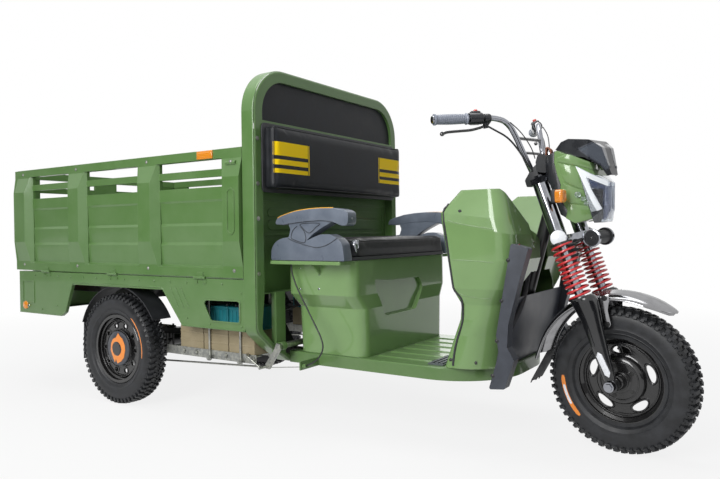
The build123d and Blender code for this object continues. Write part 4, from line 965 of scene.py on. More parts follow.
def start_tree(name: str, inputs: dict[str, str]) -> tuple[Tree, Any]:
    """Starts a geometry nodes tree that takes points and a finish.

    Args:
        name: of the tree.
        inputs: its sizes, by name, with the kind of each.

    Returns:
        The tree, and its inputs as sockets by name.
    """
    tree = bpy.data.node_groups.new(name, "GeometryNodeTree")
    for label, kind in {"Geometry": "Geometry", **inputs, "Finish": "Material"}.items():
        tree.interface.new_socket(label, in_out="INPUT", socket_type=f"NodeSocket{kind}")
    tree.interface.new_socket("Geometry", in_out="OUTPUT", socket_type="NodeSocketGeometry")
    return tree, add(tree, "NodeGroupInput").outputs


def end_tree(tree: Tree, given: Any, points: Source, copied: Source, turn: Source) -> None:
    """Ends a tree with a real copy on each point, in the tree's finish.

    Args:
        tree: the tree.
        given: its inputs.
        points: where the copies stand.
        copied: what is copied.
        turn: rotation of each.
    """
    placed = add(
        tree, "GeometryNodeInstanceOnPoints", links={"Points": points, "Instance": copied, "Rotation": turn})
    real = add(tree, "GeometryNodeRealizeInstances", links={"Geometry": placed})
    done = add(tree, "GeometryNodeSetMaterial", links={"Geometry": real, "Material": given["Finish"]})
    add(tree, "NodeGroupOutput", links={"Geometry": done})


class Head(Enum):
    """Kinds of fastener head, by the number of sides."""

    HEX = 6
    DOME = 14


@dataclass
class Fasteners:
    """Screw, bolt or rivet heads, set by geometry nodes on points that carry a direction."""

    kind: Head = Head.DOME
    radius: float = 5.0
    height: float = 3.0
    washer: float = 0.0
    flatness: ClassVar[float] = 0.55

    def tree(self) -> Tree:
        """Builds the tree that sets a head on each point, once for each kind of head."""
        name = f"heads_{self.kind.name.lower()}"
        found = bpy.data.node_groups.get(name)
        if found:
            return found
        tree, given = start_tree(name, dict.fromkeys(("Radius", "Height", "Washer"), "Float"))
        head = add(
            tree, "GeometryNodeMeshCylinder", {"Vertices": self.kind.value},
            {"Radius": given["Radius"], "Depth": given["Height"]},
        )
        if self.kind is Head.DOME:
            ball = add(
                tree, "GeometryNodeMeshUVSphere", {"Segments": 14, "Rings": 7}, {"Radius": given["Radius"]})
            flat = add(tree, "ShaderNodeCombineXYZ", {"X": 1.0, "Y": 1.0, "Z": self.flatness})
            head = add(tree, "GeometryNodeTransform", links={"Geometry": ball, "Scale": flat})
        thin = add(tree, "ShaderNodeMath", {"operation": "MULTIPLY", 1: 0.3}, {0: given["Height"]})
        washer = add(
            tree, "GeometryNodeMeshCylinder", {"Vertices": 18}, {"Radius": given["Washer"], "Depth": thin})
        joined = add(tree, "GeometryNodeJoinGeometry")
        for part in (head, washer):
            tree.links.new(part.outputs[0], joined.inputs[0])
        aim = add(tree, "GeometryNodeInputNamedAttribute", {"data_type": "FLOAT_VECTOR", "Name": "aim"})
        facing = add(
            tree, "FunctionNodeAlignRotationToVector", {"axis": "Z"}, {"Vector": aim.outputs["Attribute"]})
        end_tree(tree, given, given["Geometry"], joined, facing)
        return tree

    def place(
        self, name: str, spots: Iterable[tuple[Point, Point]], finish: Finish, body: str = "chassis",
        datum: Matrix = CHASSIS,
    ) -> Thing:
        """Sets the heads.

        Args:
            name: of the piece.
            spots: where each stands, and which way it faces.
            finish: what they are made of.
            body: that they move with.
            datum: that the spots are measured from.

        Returns:
            The piece.
        """
        spots = list(spots)
        mesh = bpy.data.meshes.new(name)
        mesh.from_pydata([datum @ Vector(p) for p, _ in spots], [], [])
        aims = mesh.attributes.new("aim", "FLOAT_VECTOR", "POINT")
        turn = datum.to_3x3().normalized()
        aims.data.foreach_set("vector", [c for _, a in spots for c in (turn @ Vector(a)).normalized()])
        made = linked(name, mesh)
        grow(made, self.tree(), {
            "Radius": self.radius / 1000, "Height": self.height / 1000,
            "Washer": self.washer / 1000, "Finish": finish.material(),
        })
        made.data.shade_smooth()
        made.data.set_sharp_from_angle(angle=math.radians(40))
        return settle(made, finish, body)


def grow(made: Thing, tree: Tree, values: dict[str, Any]) -> None:
    """Runs a geometry nodes tree on an object and keeps the result as its plain mesh.

    Args:
        made: the object.
        tree: the tree.
        values: its inputs, by name.
    """
    modifier = made.modifiers.new("grow", "NODES")
    modifier.node_group = tree
    for item in tree.interface.items_tree:
        if item.in_out == "INPUT" and item.name in values:
            modifier[item.identifier] = values[item.name]
    evaluated = made.evaluated_get(bpy.context.evaluated_depsgraph_get())
    mesh = bpy.data.meshes.new_from_object(evaluated)
    made.modifiers.remove(modifier)
    made.data = mesh
    mesh.name = made.name


# ---------------------------------------------------------------- studio

@dataclass
class Studio:
    """Pale floor, soft lamps, a white world and the camera."""

    eye: Point = (1.9097, -2.4923, 0.8038)
    yaw: float = 123.6
    pitch: float = -0.7
    roll: float = -0.7
    lens: float = 32.91
    floor_reach: float = 40.0
    world_level: float = 0.2

    def camera(self) -> None:
        """Stands the camera at the viewing angle."""
        yaw, pitch, roll = (math.radians(a) for a in (self.yaw, self.pitch, self.roll))
        ahead = Vector((math.cos(yaw) * math.cos(pitch), math.sin(yaw) * math.cos(pitch), math.sin(pitch)))
        right = ahead.cross(Vector((0, 0, 1))).normalized()
        up = right.cross(ahead)
        across = right * math.cos(roll) + up * math.sin(roll)
        rise = up * math.cos(roll) - right * math.sin(roll)
        data = bpy.data.cameras.new("camera")
        data.lens, data.sensor_width = self.lens, 36.0
        data.clip_end = 200
        made = linked("camera", data)
        made.matrix_world = Matrix.Translation(self.eye) @ Matrix(
            (across, rise, -ahead)
        ).transposed().to_4x4()
        bpy.context.scene.camera = made

    def lamp(self, name: str, place: Point, aim: Point, size: tuple[float, float], watts: float) -> None:
        """Hangs a soft rectangular lamp.

        Args:
            name: of the lamp.
            place: where it hangs, in metres.
            aim: point that it faces.
            size: width and height.
            watts: its power.
        """
        data = bpy.data.lights.new(name, "AREA")
        data.shape, data.size, data.size_y, data.energy = "RECTANGLE", *size, watts
        made = linked(name, data)
        made.matrix_world = toward(place, Vector(place) - Vector(aim), (0.1, 0, 1))

    def card(self, name: str, place: Point, aim: Point, size: tuple[float, float], tone: str) -> None:
        """Stands a dark card that only reflections show, so that gloss has something to mirror.

        Args:
            name: of the card.
            place: its middle, in metres.
            aim: point that it faces.
            size: width and height.
            tone: its colour.
        """
        wide, tall = size[0] * 500, size[1] * 500
        form = Form().skin([[(-wide, -tall, 0), (wide, -tall, 0)], [(-wide, tall, 0), (wide, tall, 0)]])
        turn = aimed(place, Vector(aim) - Vector(place))
        made = form.finished(name, turn @ turn_by(90, "Z") @ MILLIMETRES)
        material = surface(name)
        glow = add(material.node_tree, "ShaderNodeEmission", {"Color": colour(tone), "Strength": 1.0})
        add(material.node_tree, "ShaderNodeOutputMaterial", links={"Surface": glow})
        made.data.materials.append(material)
        made.visible_camera = made.visible_diffuse = made.visible_shadow = False
        made.visible_transmission = made.visible_volume_scatter = False

    def seen(self, tree: Tree) -> Socket:
        """1 for rays from the camera, or that reach it by a reflection or through glass."""
        path = add(tree, "ShaderNodeLightPath").outputs
        total = path["Is Camera Ray"]
        for other in ("Is Glossy Ray", "Is Transmission Ray"):
            total = add(tree, "ShaderNodeMath", {"operation": "MAXIMUM"}, {0: total, 1: path[other]}).outputs[0]
        return total

    def world(self) -> None:
        """White where it is seen, and plain soft light elsewhere."""
        world = surface("studio", "WORLD")
        tree = world.node_tree
        light = add(
            tree, "ShaderNodeBackground", {"Color": colour("#f7f9ff"), "Strength": self.world_level})
        white = add(tree, "ShaderNodeBackground", {"Color": (1, 1, 1, 1), "Strength": 1.0})
        both = add(tree, "ShaderNodeMixShader", links={0: self.seen(tree), 1: light, 2: white})
        add(tree, "ShaderNodeOutputWorld", links={"Surface": both})
        bpy.context.scene.world = world

    def floor(self) -> None:
        """Lays the floor, which keeps the vehicle's shadow."""
        reach = self.floor_reach * 1000
        form = Form().skin([[(-reach, -reach, 0), (reach, -reach, 0)], [(-reach, reach, 0), (reach, reach, 0)]])
        made = form.finished("floor", MILLIMETRES)
        material = surface("studio_floor")
        tree = material.node_tree
        matt = add(tree, "ShaderNodeBsdfDiffuse", {"Color": colour("#c9c9c9")})
        white = add(tree, "ShaderNodeEmission", {"Color": (1, 1, 1, 1), "Strength": 1.0})
        spot = add(tree, "ShaderNodeTexCoord").outputs["Object"]
        away = add(tree, "ShaderNodeVectorMath", {"operation": "LENGTH"}, {0: spot}).outputs["Value"]
        span = {"From Min": 1.5, "From Max": 5.0, "To Min": 0.84, "To Max": 1.0}
        fade = add(tree, "ShaderNodeMapRange", span, {"Value": away})
        share = add(tree, "ShaderNodeMath", {"operation": "MULTIPLY"}, {0: self.seen(tree), 1: fade})
        both = add(tree, "ShaderNodeMixShader", links={0: share, 1: matt, 2: white})
        add(tree, "ShaderNodeOutputMaterial", links={"Surface": both})
        made.data.materials.append(material)

    def build(self) -> None:
        """Sets up the whole studio."""
        self.camera()
        self.world()
        self.floor()
        self.lamp("key", (0.5, -4.8, 2.9), (0.6, 0.0, 0.7), (3.2, 2.0), 235)
        self.lamp("front_fill", (6.4, -1.0, 2.2), (0.6, 0.0, 0.7), (3.0, 2.4), 8)
        self.lamp("overhead", (-0.2, -0.4, 4.6), (-0.2, 0.0, 0.0), (4.4, 2.4), 130)
        self.lamp("far_side", (-2.0, 5.5, 3.0), (0.0, 0.0, 0.6), (4.0, 2.4), 40)
        self.card("side_card", (-4.6, -6.4, 1.4), (0.0, 0.0, 0.8), (9.0, 2.6), "#2a2b2d")
        self.card("far_card", (6.5, 6.0, 1.1), (0.6, 0.0, 0.7), (9.0, 2.4), "#222325")
        self.card("front_card", (6.6, -3.6, 1.0), (0.6, 0.0, 0.7), (7.0, 1.9), "#222325")
        bpy.context.scene.view_settings.view_transform = "Standard"


def dress_all() -> None:
    """Gives every CAD node its finish."""
    f = Finishes
    dress(f.ENAMEL, "side_panel_right", "side_panel_left", "tailgate", "cargo_floor", "skirts",
          "headboard", "foot_floor")
    dress(f.MOULDING, "seat_base", "leg_shield", "headlamp_nacelle")
    dress(f.FRAME_PAINT, "main_frame", "rear_axle", "leaf_springs")
    dress(f.WHEEL_PAINT, "front_rim", "rear_rim_left", "rear_rim_right")
    dress(f.FORK_PAINT, "fork_legs")
    dress(f.BLACK_PLASTIC, "arch_liners", "seat_lid", "hand_controls", "console", "horns")
    dress(f.GUARD_PLASTIC, "front_shroud")
    dress(f.VISOR_PLASTIC, "headlamp_visor")
    dress(f.ARMREST, "armrests")
    dress(f.CHROME, "fork_crowns", "fork_tubes", "handlebar")
    dress(f.STAINLESS, "front_fender")
    dress(f.ZINC, "battery_tray", "brake_linkage")
    dress(f.SPRING_RED, "fork_springs")
    dress(f.BATTERY, "battery_pack")
    dress(f.LENS, "headlamp_lens")
    dress(f.AMBER, "front_indicators")
    dress(f.RED_LENS, "tail_lamps")
    dress(f.GRIP, "handlebar_grips")
    dress(f.MAT, "floor_mat")
    dress(f.PANEL_VINYL, "headboard_panel")
    dress(f.TYRE, "front_tyre", "rear_tyre_left", "rear_tyre_right")
    dress(f.LEATHER, "seat_cushion")
    dress(f.STRIPED, "backrest_cushion")
    dress(f.BLACK_CABLE, "brake_cable")


# ---------------------------------------------------------------- wheels

@dataclass(frozen=True)
class LugRow:
    """One row of tread lugs round a tyre."""

    offset: float
    length: float
    width: float
    height: float
    radius: float
    twist: float = 0.0
    tilt: float = 0.0
    phase: float = 0.0


@dataclass
class Tyre:
    """Block-tread tyre: a ringed sidewall and rows of lugs."""

    crown: float = 253.5
    half: float = 48.6
    bead: float = 152.6
    count: int = 58

    def profile(self) -> list[tuple[float, float]]:
        """Returns the section of the carcass, round its wall, as (radius, height) points."""
        half = [
            (self.bead, 32.0), (163.8, 32.8), (168.0, 38.5), (170.5, 41.2), (172.0, 40.6), (178.0, 43.2),
            (184.0, 45.6), (186.0, 47.2), (188.0, 46.4), (200.0, self.half - 0.7), (212.0, self.half),
            (224.0, self.half - 0.6), (233.0, self.half - 3.0), (239.0, 43.6), (241.5, 44.2),
            (244.0, 41.0), (250.0, 32.0), (self.crown - 1, 18.0), (self.crown, 0.0),
        ]
        outside = half + [(r, -z) for r, z in reversed(half[:-1])]
        inside = [(self.bead + 4, -28.0), (200.0, -40.0), (240.0, -30.0), (240.0, 30.0), (200.0, 40.0),
                  (self.bead + 4, 28.0)]
        return outside + inside

    def rows(self) -> list[LugRow]:
        """Returns the rows of lugs, staggered from side to side."""
        made = []
        step = 360 / self.count
        for side, phase in ((1, 0.0), (-1, step / 2)):
            made += [
                LugRow(side * 32, 15.5, 27, 10.0, 249.0, side * 10, side * -14, phase),
                LugRow(side * 12, 13.5, 15, 8.6, 252.6, side * -24, 0, phase + step * 0.42),
                LugRow(side * 43.5, 13.0, 13, 5.5, 241.0, side * 4, side * -58, phase + step * 0.1),
            ]
        made.append(LugRow(0, 8.5, 9, 7.6, 252.8, 45, 0, step * 0.25))
        return made

    def tree(self) -> Tree:
        """Builds the tree that sets tapered lugs round a circle, the first time it is needed."""
        found = bpy.data.node_groups.get("tread_row")
        if found:
            return found
        labels = ("Radius", "Offset", "Length", "Width", "Height", "Twist", "Tilt", "Phase")
        tree, given = start_tree("tread_row", {"Count": "Int", **dict.fromkeys(labels, "Float")})
        # A side of 1 needs a radius of half the root of 2.
        taper = {"Vertices": 4, "Radius Top": 0.58, "Radius Bottom": 0.7071, "Depth": 1.0}
        wedge = add(tree, "GeometryNodeMeshCone", taper)
        square = add(tree, "GeometryNodeTransform", {"Rotation": (0, 0, math.radians(45))}, {"Geometry": wedge})
        size = add(
            tree, "ShaderNodeCombineXYZ",
            links={"X": given["Width"], "Y": given["Length"], "Z": given["Height"]},
        )
        sized = add(
            tree, "GeometryNodeTransform", {"Rotation": (0, math.radians(90), 0)},
            {"Geometry": square, "Scale": size},
        )
        turn = add(tree, "ShaderNodeCombineXYZ", links={"X": given["Twist"], "Y": given["Tilt"]})
        aside = add(tree, "ShaderNodeCombineXYZ", links={"Z": given["Offset"]})
        lug = add(
            tree, "GeometryNodeTransform", links={"Geometry": sized, "Rotation": turn, "Translation": aside})
        circle = add(
            tree, "GeometryNodeMeshCircle", links={"Vertices": given["Count"], "Radius": given["Radius"]})
        round_by = add(tree, "ShaderNodeCombineXYZ", links={"Z": given["Phase"]})
        ring = add(tree, "GeometryNodeTransform", links={"Geometry": circle, "Rotation": round_by})
        facing = add(
            tree, "FunctionNodeAlignRotationToVector", {"axis": "X", "pivot_axis": "Z"},
            {"Vector": add(tree, "GeometryNodeInputPosition")},
        )
        end_tree(tree, given, ring, lug, facing)
        return tree

    def build(self, name: str, datum: Matrix, body: str, node: str) -> Thing:
        """Makes the tyre in place of its CAD node.

        Args:
            name: of the piece.
            datum: with its z along the axle.
            body: the wheel that it moves with.
            node: the CAD tyre.

        Returns:
            The tyre.
        """
        form = Form().lathe(self.profile(), 120)
        for i, row in enumerate(self.rows()):
            seed = linked(f"row_{i}", bpy.data.meshes.new(f"row_{i}"))
            grow(seed, self.tree(), {
                "Count": self.count, "Radius": row.radius, "Offset": row.offset, "Length": row.length,
                "Width": row.width, "Height": row.height, "Twist": math.radians(row.twist),
                "Tilt": math.radians(row.tilt), "Phase": math.radians(row.phase),
                "Finish": Finishes.TYRE.material(),
            })
            form.mesh.from_mesh(seed.data)
            bpy.data.objects.remove(seed)
        return form.put(name, Finishes.TYRE, body, datum, stands_for=(node,))

    def patch(
        self, name: str, datum: Matrix, body: str, inner: float, outer: float, angles: tuple[float, float],
        finish: Finish, lift: float = 0.5,
    ) -> Thing:
        """Lays a thin band on the sidewall.

        Args:
            name: of the piece.
            datum: of the wheel.
            body: that it moves with.
            inner: its inner radius.
            outer: its outer radius.
            angles: where it starts and ends, in degrees from straight ahead.
            finish: what it is made of.
            lift: how far it stands off the rubber.

        Returns:
            The band.
        """
        wall = sorted(self.profile()[:18])
        radii = [inner + (outer - inner) * k / 4 for k in range(5)]

        def height(radius: float) -> float:
            """Height of the sidewall at a radius."""
            for (r0, z0), (r1, z1) in zip(wall, wall[1:]):
                if r0 <= radius <= r1:
                    return z0 + (z1 - z0) * (radius - r0) / max(r1 - r0, 1e-6)
            return wall[-1][1]

        rows = []
        for k in range(25):
            turn = math.radians(angles[0] + (angles[1] - angles[0]) * k / 24)
            pinch = min(1.0, 0.55 + min(k, 24 - k) * 0.25)
            middle = (inner + outer) / 2
            spread = [middle + (r - middle) * pinch for r in radii]
            loop = [(r, height(r) + lift) for r in spread] + [(r, height(r) - 0.4) for r in reversed(spread)]
            rows.append([(r * math.cos(turn), r * math.sin(turn), z) for r, z in loop])
        return Form().skin(rows, closed=True).cap().put(name, finish, body, datum)


@dataclass
class Wheels:
    """The three wheels: tyres, hub details and rim trims."""

    hub_ring: tuple[float, float] = (66.0, 70.0)
    cap_radius: float = 82.0

    def ring(self, inner: float, outer: float, low: float, high: float, steps: int = 72) -> Form:
        """Turns a rounded ring.

        Args:
            inner: radius.
            outer: radius.
            low: where it starts along the axle.
            high: where it ends.
            steps: points round it.

        Returns:
            The form.
        """
        ease = min((outer - inner) / 2, high - low) * 0.4
        return Form().lathe([
            (inner, low), (outer, low), (outer, high - ease), (outer - ease, high), (inner + ease, high),
            (inner, high - ease),
        ], steps)

    def valve(self, datum: Matrix, name: str, body: str) -> None:
        """Adds the tyre valve on the inner side of the rim's well."""
        path = [(0, 132, 12), (0, 124, 20), (0, 120, 32)]
        form = Form().tube(smooth(path, 4), 3.2, 10)
        form.tube([(0, 120, 30), (0, 117, 38)], 4.2, 10)
        form.put(name, Finishes.BLACK_CABLE, body, datum, slot="grip_rubber")

    def front_disc(self, datum: Matrix) -> None:
        """Makes the front rim: a barrel, and a disc with five lipped oval windows."""
        side = [
            (149.6, -30), (163, -32), (165, -29), (152, -27.5), (152, -20), (140, -11), (140, 11), (152, 20),
            (152, 27.5), (165, 29), (163, 32), (149.6, 30), (149.6, 19), (136, 9), (136, -9), (149.6, -19),
        ]
        disc = Form().lathe([
            (60, 15), (76, 13), (88, 7), (98, 5), (112, 5), (124, 6), (132, 4), (139, -6), (136, -9.5),
            (130, 0), (122, 2.5), (98, 1.5), (86, 3), (74, 9), (60, 11),
        ], 140)
        windows, lips = Form(), Form()
        for k in range(5):
            spin = turn_by(18 + 72 * k, "Z") @ Matrix.Translation((108, 0, 4))
            oval = [(15 * math.cos(t), 33 * math.sin(t)) for t in (2 * math.pi * i / 36 for i in range(36))]
            bent = [(x - y * y / 260, y) for x, y in oval]
            windows.join(Form().prism(bent, -30, 30, spin))
            rows = []
            lip = ((-1.5, -4), (-1.5, 3), (0.5, 5.2), (3, 5.6), (5.5, 3.4), (7, 0.4), (6, -1.5))
            for swell, rise in lip:
                rows.append([
                    spin @ Vector((x * (1 + swell / 15) - (y * (1 + swell / 33)) ** 2 / 260,
                                   y * (1 + swell / 33), rise))
                    for x, y in oval
                ])
            lips.join(Form().skin(rows, closed=True, looped=True))
        disc.within(windows, "DIFFERENCE")
        rim = disc.join(lips).lathe(side, 120)
        rim.lathe([
            (15, 35), (52, 35), (72, 33.5), (80, 31), (84, 26), (84, 16), (88, 10), (80, -4), (60, -6),
            (15, -6),
        ], 96)
        rim.lathe([(13, -70), (26, -70), (28, -64), (28, 60), (26, 66), (22, 70), (13, 70)], 40)
        rim.put(
            "front_rim_disc", Finishes.WHEEL_PAINT, "front_wheel", datum, stands_for=("front_rim",),
            crease=38)

    def front(self) -> None:
        """Dresses the front wheel."""
        body, joint = "front_wheel", "front_wheel_spin"
        datum = DATUMS.wheel(joint, -1)
        self.front_disc(datum)
        tyre = Tyre()
        tyre.build("front_block_tyre", datum, body, "front_tyre")
        tyre.patch("front_tyre_band", datum, body, 196, 210, (181, 226), Finishes.ORANGE)
        tyre.patch("front_tyre_band_middle", datum, body, 198.5, 207.5, (191, 212), Finishes.WHITE, 0.8)
        rings = self.ring(*self.hub_ring, 33, 37.5)
        for extra in ((28, 33, 33, 42), (76, 80, 16, 21), (42, 44, 33, 35), (128, 131, 16, 20)):
            rings.join(self.ring(*extra))
        rings.put("front_hub_rings", Finishes.WHEEL_PAINT, body, datum)
        self.valve(datum, "front_valve", body)
        spots = [((55 * math.cos(t), 55 * math.sin(t), 35), (0, 0, 1))
                 for t in (math.radians(36 + 72 * k) for k in range(5))]
        Fasteners(Head.HEX, 5.0, 4.0, 8.0).place(
            "front_hub_bolts", spots, Finishes.FRAME_PAINT, body, datum)

    def cap(self, datum: Matrix, side: str, body: str) -> None:
        """Adds a rear wheel's round cap with its orange shape and blank middle.

        Args:
            datum: of the wheel, z outward.
            side: left or right.
            body: the wheel's body.
        """
        r = self.cap_radius
        dish = Form().lathe([
            (0.01, 37.5), (38, 37.5), (r - 8, 35), (r - 2, 31.5), (r, 27.5), (r - 3, 27.5), (r - 9, 32),
            (0.01, 34),
        ], 72, looped=False)
        dish.put(f"rear_cap_{side}", Finishes.DARK_CAP, body, datum)
        hexagon = [(32 * math.cos(t), 32 * math.sin(t)) for t in (math.radians(60 * k) for k in range(6))]
        shape = [
            (8, 74), (22, 60), (40, 50), (58, 20), (60, -4), (50, -38), (28, -58), (2, -70), (-18, -66),
            (-8, -50), (-36, -36), (-48, -10), (-44, 22), (-30, 44), (-8, 52),
        ]
        ring = Form()
        spread = [(Vector(c).angle_signed(Vector((1, 0))) % (2 * math.pi), c) for c in shape]
        spread.sort()
        rows = []
        for turn, (x, y) in spread:
            edge = Vector((x, y)).length
            corner = (turn % math.radians(60)) - math.radians(30)
            inner = 37 * math.cos(math.radians(30)) / math.cos(corner)
            loop = [(inner, 36.9), (edge, 35.2), (edge, 37.4), (inner, 39.2)]
            rows.append([(q * math.cos(turn), q * math.sin(turn), z) for q, z in loop])
        ring.skin(rows, closed=True, looped=True)
        ring.put(f"rear_cap_shape_{side}", Finishes.ORANGE, body, datum)
        plate = Form().prism(hexagon, 37, 40.2).bevel(1.2)
        plate.put(f"rear_cap_plate_{side}", Finishes.GUARD_PLASTIC, body, datum)

    def rear(self, side: str, outward: float) -> None:
        """Dresses a rear wheel.

        Args:
            side: left or right.
            outward: 1 or -1 along the joint's axis.
        """
        body = f"rear_wheel_{side}"
        datum = DATUMS.wheel(f"{body}_spin", outward)
        tyre = Tyre()
        tyre.build(f"rear_block_tyre_{side}", datum, body, f"rear_tyre_{side}")
        tyre.patch(f"rear_tyre_band_{side}", datum, body, 191, 197, (-8, 52), Finishes.ORANGE)
        self.cap(datum, side, body)
        rings = self.ring(88, 91, 24, 28)
        for extra in ((128, 131, 12, 17), (134, 136.5, 14, 26)):
            rings.join(self.ring(*extra))
        rings.put(f"rear_rings_{side}", Finishes.WHEEL_PAINT, body, datum)
        self.valve(datum, f"rear_valve_{side}", body)

    def build(self) -> None:
        """Dresses all three."""
        self.front()
        self.rear("right", -1)
        self.rear("left", 1)


# ---------------------------------------------------------------- cords

@dataclass
class Cord:
    """A cable or hose: a round NURBS curve whose control points are its route."""

    name: str
    route: Sequence[Point]
    diameter: float
    length: float
    finish: Finish
    body: str
    datum: Matrix = field(default_factory=lambda: CHASSIS)
    stiffness: str = "medium"

    def lay(self, *stands_for: str) -> None:
        """Args:
            stands_for: CAD nodes that it replaces.
        """
        curve = bpy.data.curves.new(self.name, "CURVE")
        curve.dimensions = "3D"
        curve.bevel_depth = self.diameter / 2000
        curve.bevel_resolution = 4
        curve.use_fill_caps = True
        curve.materials.append(self.finish.material())
        spots = [self.datum @ Vector(p) for p in self.route]
        spline = curve.splines.new("NURBS")
        spline.points.add(len(spots) - 1)
        for point, spot in zip(spline.points, spots):
            point.co = (*spot, 1.0)
        spline.order_u = 3
        spline.use_endpoint_u = True
        spline.resolution_u = 10
        made = linked(self.name, curve)
        settle(made, self.finish, self.body, *stands_for)


@dataclass
class Cables:
    """The brake cable, a lever and a switch cable on each side of the handlebar, and the neck's hose."""

    brake_route: Sequence[Point] = (
        (994, -440, 675), (985, -440, 638), (1104, -444, 452), (1156, -448, 373), (1148, -450, 326),
        (1101, -452, 284), (1055, -452, 271),
    )
    clutch_route: Sequence[Point] = (
        (-30, -214, 326), (-14, -190, 300), (4, -152, 268), (10, -118, 224), (14, -92, 166), (16, -70, 128),
    )
    switch_route: Sequence[Point] = (
        (26, -136, 318), (42, -120, 282), (46, -92, 236), (44, -70, 196), (36, -58, 170),
    )
    hose_route: Sequence[Point] = (
        (1828, -20, 640), (1836, -72, 604), (1850, -140, 556), (1856, -206, 512), (1850, -262, 470),
        (1834, -290, 424),
    )

    def build(self) -> None:
        """Lays them."""
        f = Finishes
        Cord("brake_cable_sheath", self.brake_route, 6, 500, f.BLACK_CABLE, "chassis").lay("brake_cable")
        for side, way in (("right", 1), ("left", -1)):
            for kind, route, thick, length in (
                ("lever", self.clutch_route, 7, 254), ("switch", self.switch_route, 4, 171),
            ):
                Cord(
                    f"{kind}_cable_{side}", [(x, y * way, z) for x, y, z in route], thick, length,
                    f.BLACK_CABLE, "steering", DATUMS.fork).lay()
        Cord("neck_hose", self.hose_route, 20, 353, f.FLAP, "chassis").lay()


# ---------------------------------------------------------------- padding

@dataclass
class Pad:
    """A foam pad in leathercloth, swollen by cloth pressure except where it rests."""

    name: str
    node: str
    body: str
    finish: Finish
    rest: Point
    cap: float = 8.0
    shrink: float = 4.0
    voxel: float = 6.0
    fill: float = 0.85

    def start(self) -> Thing:
        """Copies the CAD pad, a little smaller, as a fine even mesh."""
        form = copy_of(self.node)
        low, high = (Vector(c) * 1000 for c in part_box(self.node))
        middle, reach = (low + high) / 2, (high - low) / 2
        for vert in form.mesh.verts:
            away = vert.co - middle
            for i in range(3):
                if away[i] * self.rest[i] <= 0:
                    away[i] *= 1 - self.shrink / reach[i]
            vert.co = middle + away
        made = form.finished(self.name, MILLIMETRES)
        remesh = made.modifiers.new("even", "REMESH")
        remesh.mode, remesh.voxel_size, remesh.use_smooth_shade = "VOXEL", self.voxel / 1000, True
        even = bpy.data.meshes.new_from_object(
            made.evaluated_get(bpy.context.evaluated_depsgraph_get())
        )
        made.modifiers.clear()
        made.data = even
        return made

    def swell(self, made: Thing) -> None:
        """Fills the pad by pressure and holds every point near its start.

        Args:
            made: the even mesh.
        """
        start = [v.co.copy() for v in made.data.vertices]
        cloth = made.modifiers.new("fill", "CLOTH")
        cloth.settings.quality = 5
        cloth.settings.use_pressure = True
        cloth.settings.uniform_pressure_force = 4.0
        cloth.settings.tension_stiffness = cloth.settings.compression_stiffness = 20
        cloth.settings.effector_weights.gravity = 0.0
        cloth.point_cache.frame_start, cloth.point_cache.frame_end = 1, 20
        scene = bpy.context.scene
        for step in range(1, 21):
            scene.frame_set(step)
        swollen = made.evaluated_get(bpy.context.evaluated_depsgraph_get()).to_mesh()
        ends = [v.co.copy() for v in swollen.vertices]
        made.modifiers.clear()
        scene.frame_set(1)
        rest = Vector(self.rest)
        heights = [s.dot(rest) for s in start]
        top, bottom = max(heights), min(heights)
        for vert, before, after, height in zip(made.data.vertices, start, ends, heights):
            free = min(1.0, max(0.0, (top - height) / (top - bottom) * 2.2))
            move = after - before
            limit = self.cap / 1000 * free
            if move.length > limit:
                move *= limit / move.length
            vert.co = before + move

    def build(self) -> Thing:
        made = self.start()
        self.swell(made)
        finer = made.modifiers.new("finer", "SUBSURF")
        finer.levels = finer.render_levels = 1
        made.data.materials.clear()
        settle(made, self.finish, self.body, self.node)
        return made

    def piping(self, made: Thing, loop: Sequence[Point], radius: float, name: str) -> None:
        """Sews a round piping where a loop lies nearest the pad.

        Args:
            made: the pad.
            loop: points outside its edge, in millimetres from the ground under the rear axle.
            radius: of the piping.
            name: of the piping.
        """
        tree = BVHTree.FromObject(made, bpy.context.evaluated_depsgraph_get())
        ring = []
        for spot in loop:
            near, normal, _, _ = tree.find_nearest(CHASSIS @ Vector(spot))
            ring.append((near + normal * radius * 0.0004) * 1000)
        ring.append(ring[0])
        rows = []
        middle = sum(ring, Vector()) / len(ring)
        for i, point in enumerate(ring[:-1]):
            ahead = (ring[i + 1] - ring[i - 1 if i else -2]).normalized()
            side = ahead.cross(point - middle).normalized()
            out = side.cross(ahead)
            rows.append([
                point + (side * math.cos(t) + out * math.sin(t)) * radius
                for t in (2 * math.pi * k / 8 for k in range(8))
            ])
        form = Form().skin(rows, closed=True, looped=True)
        form.put(name, self.finish, self.body, MILLIMETRES)


# ---------------------------------------------------------------- seat

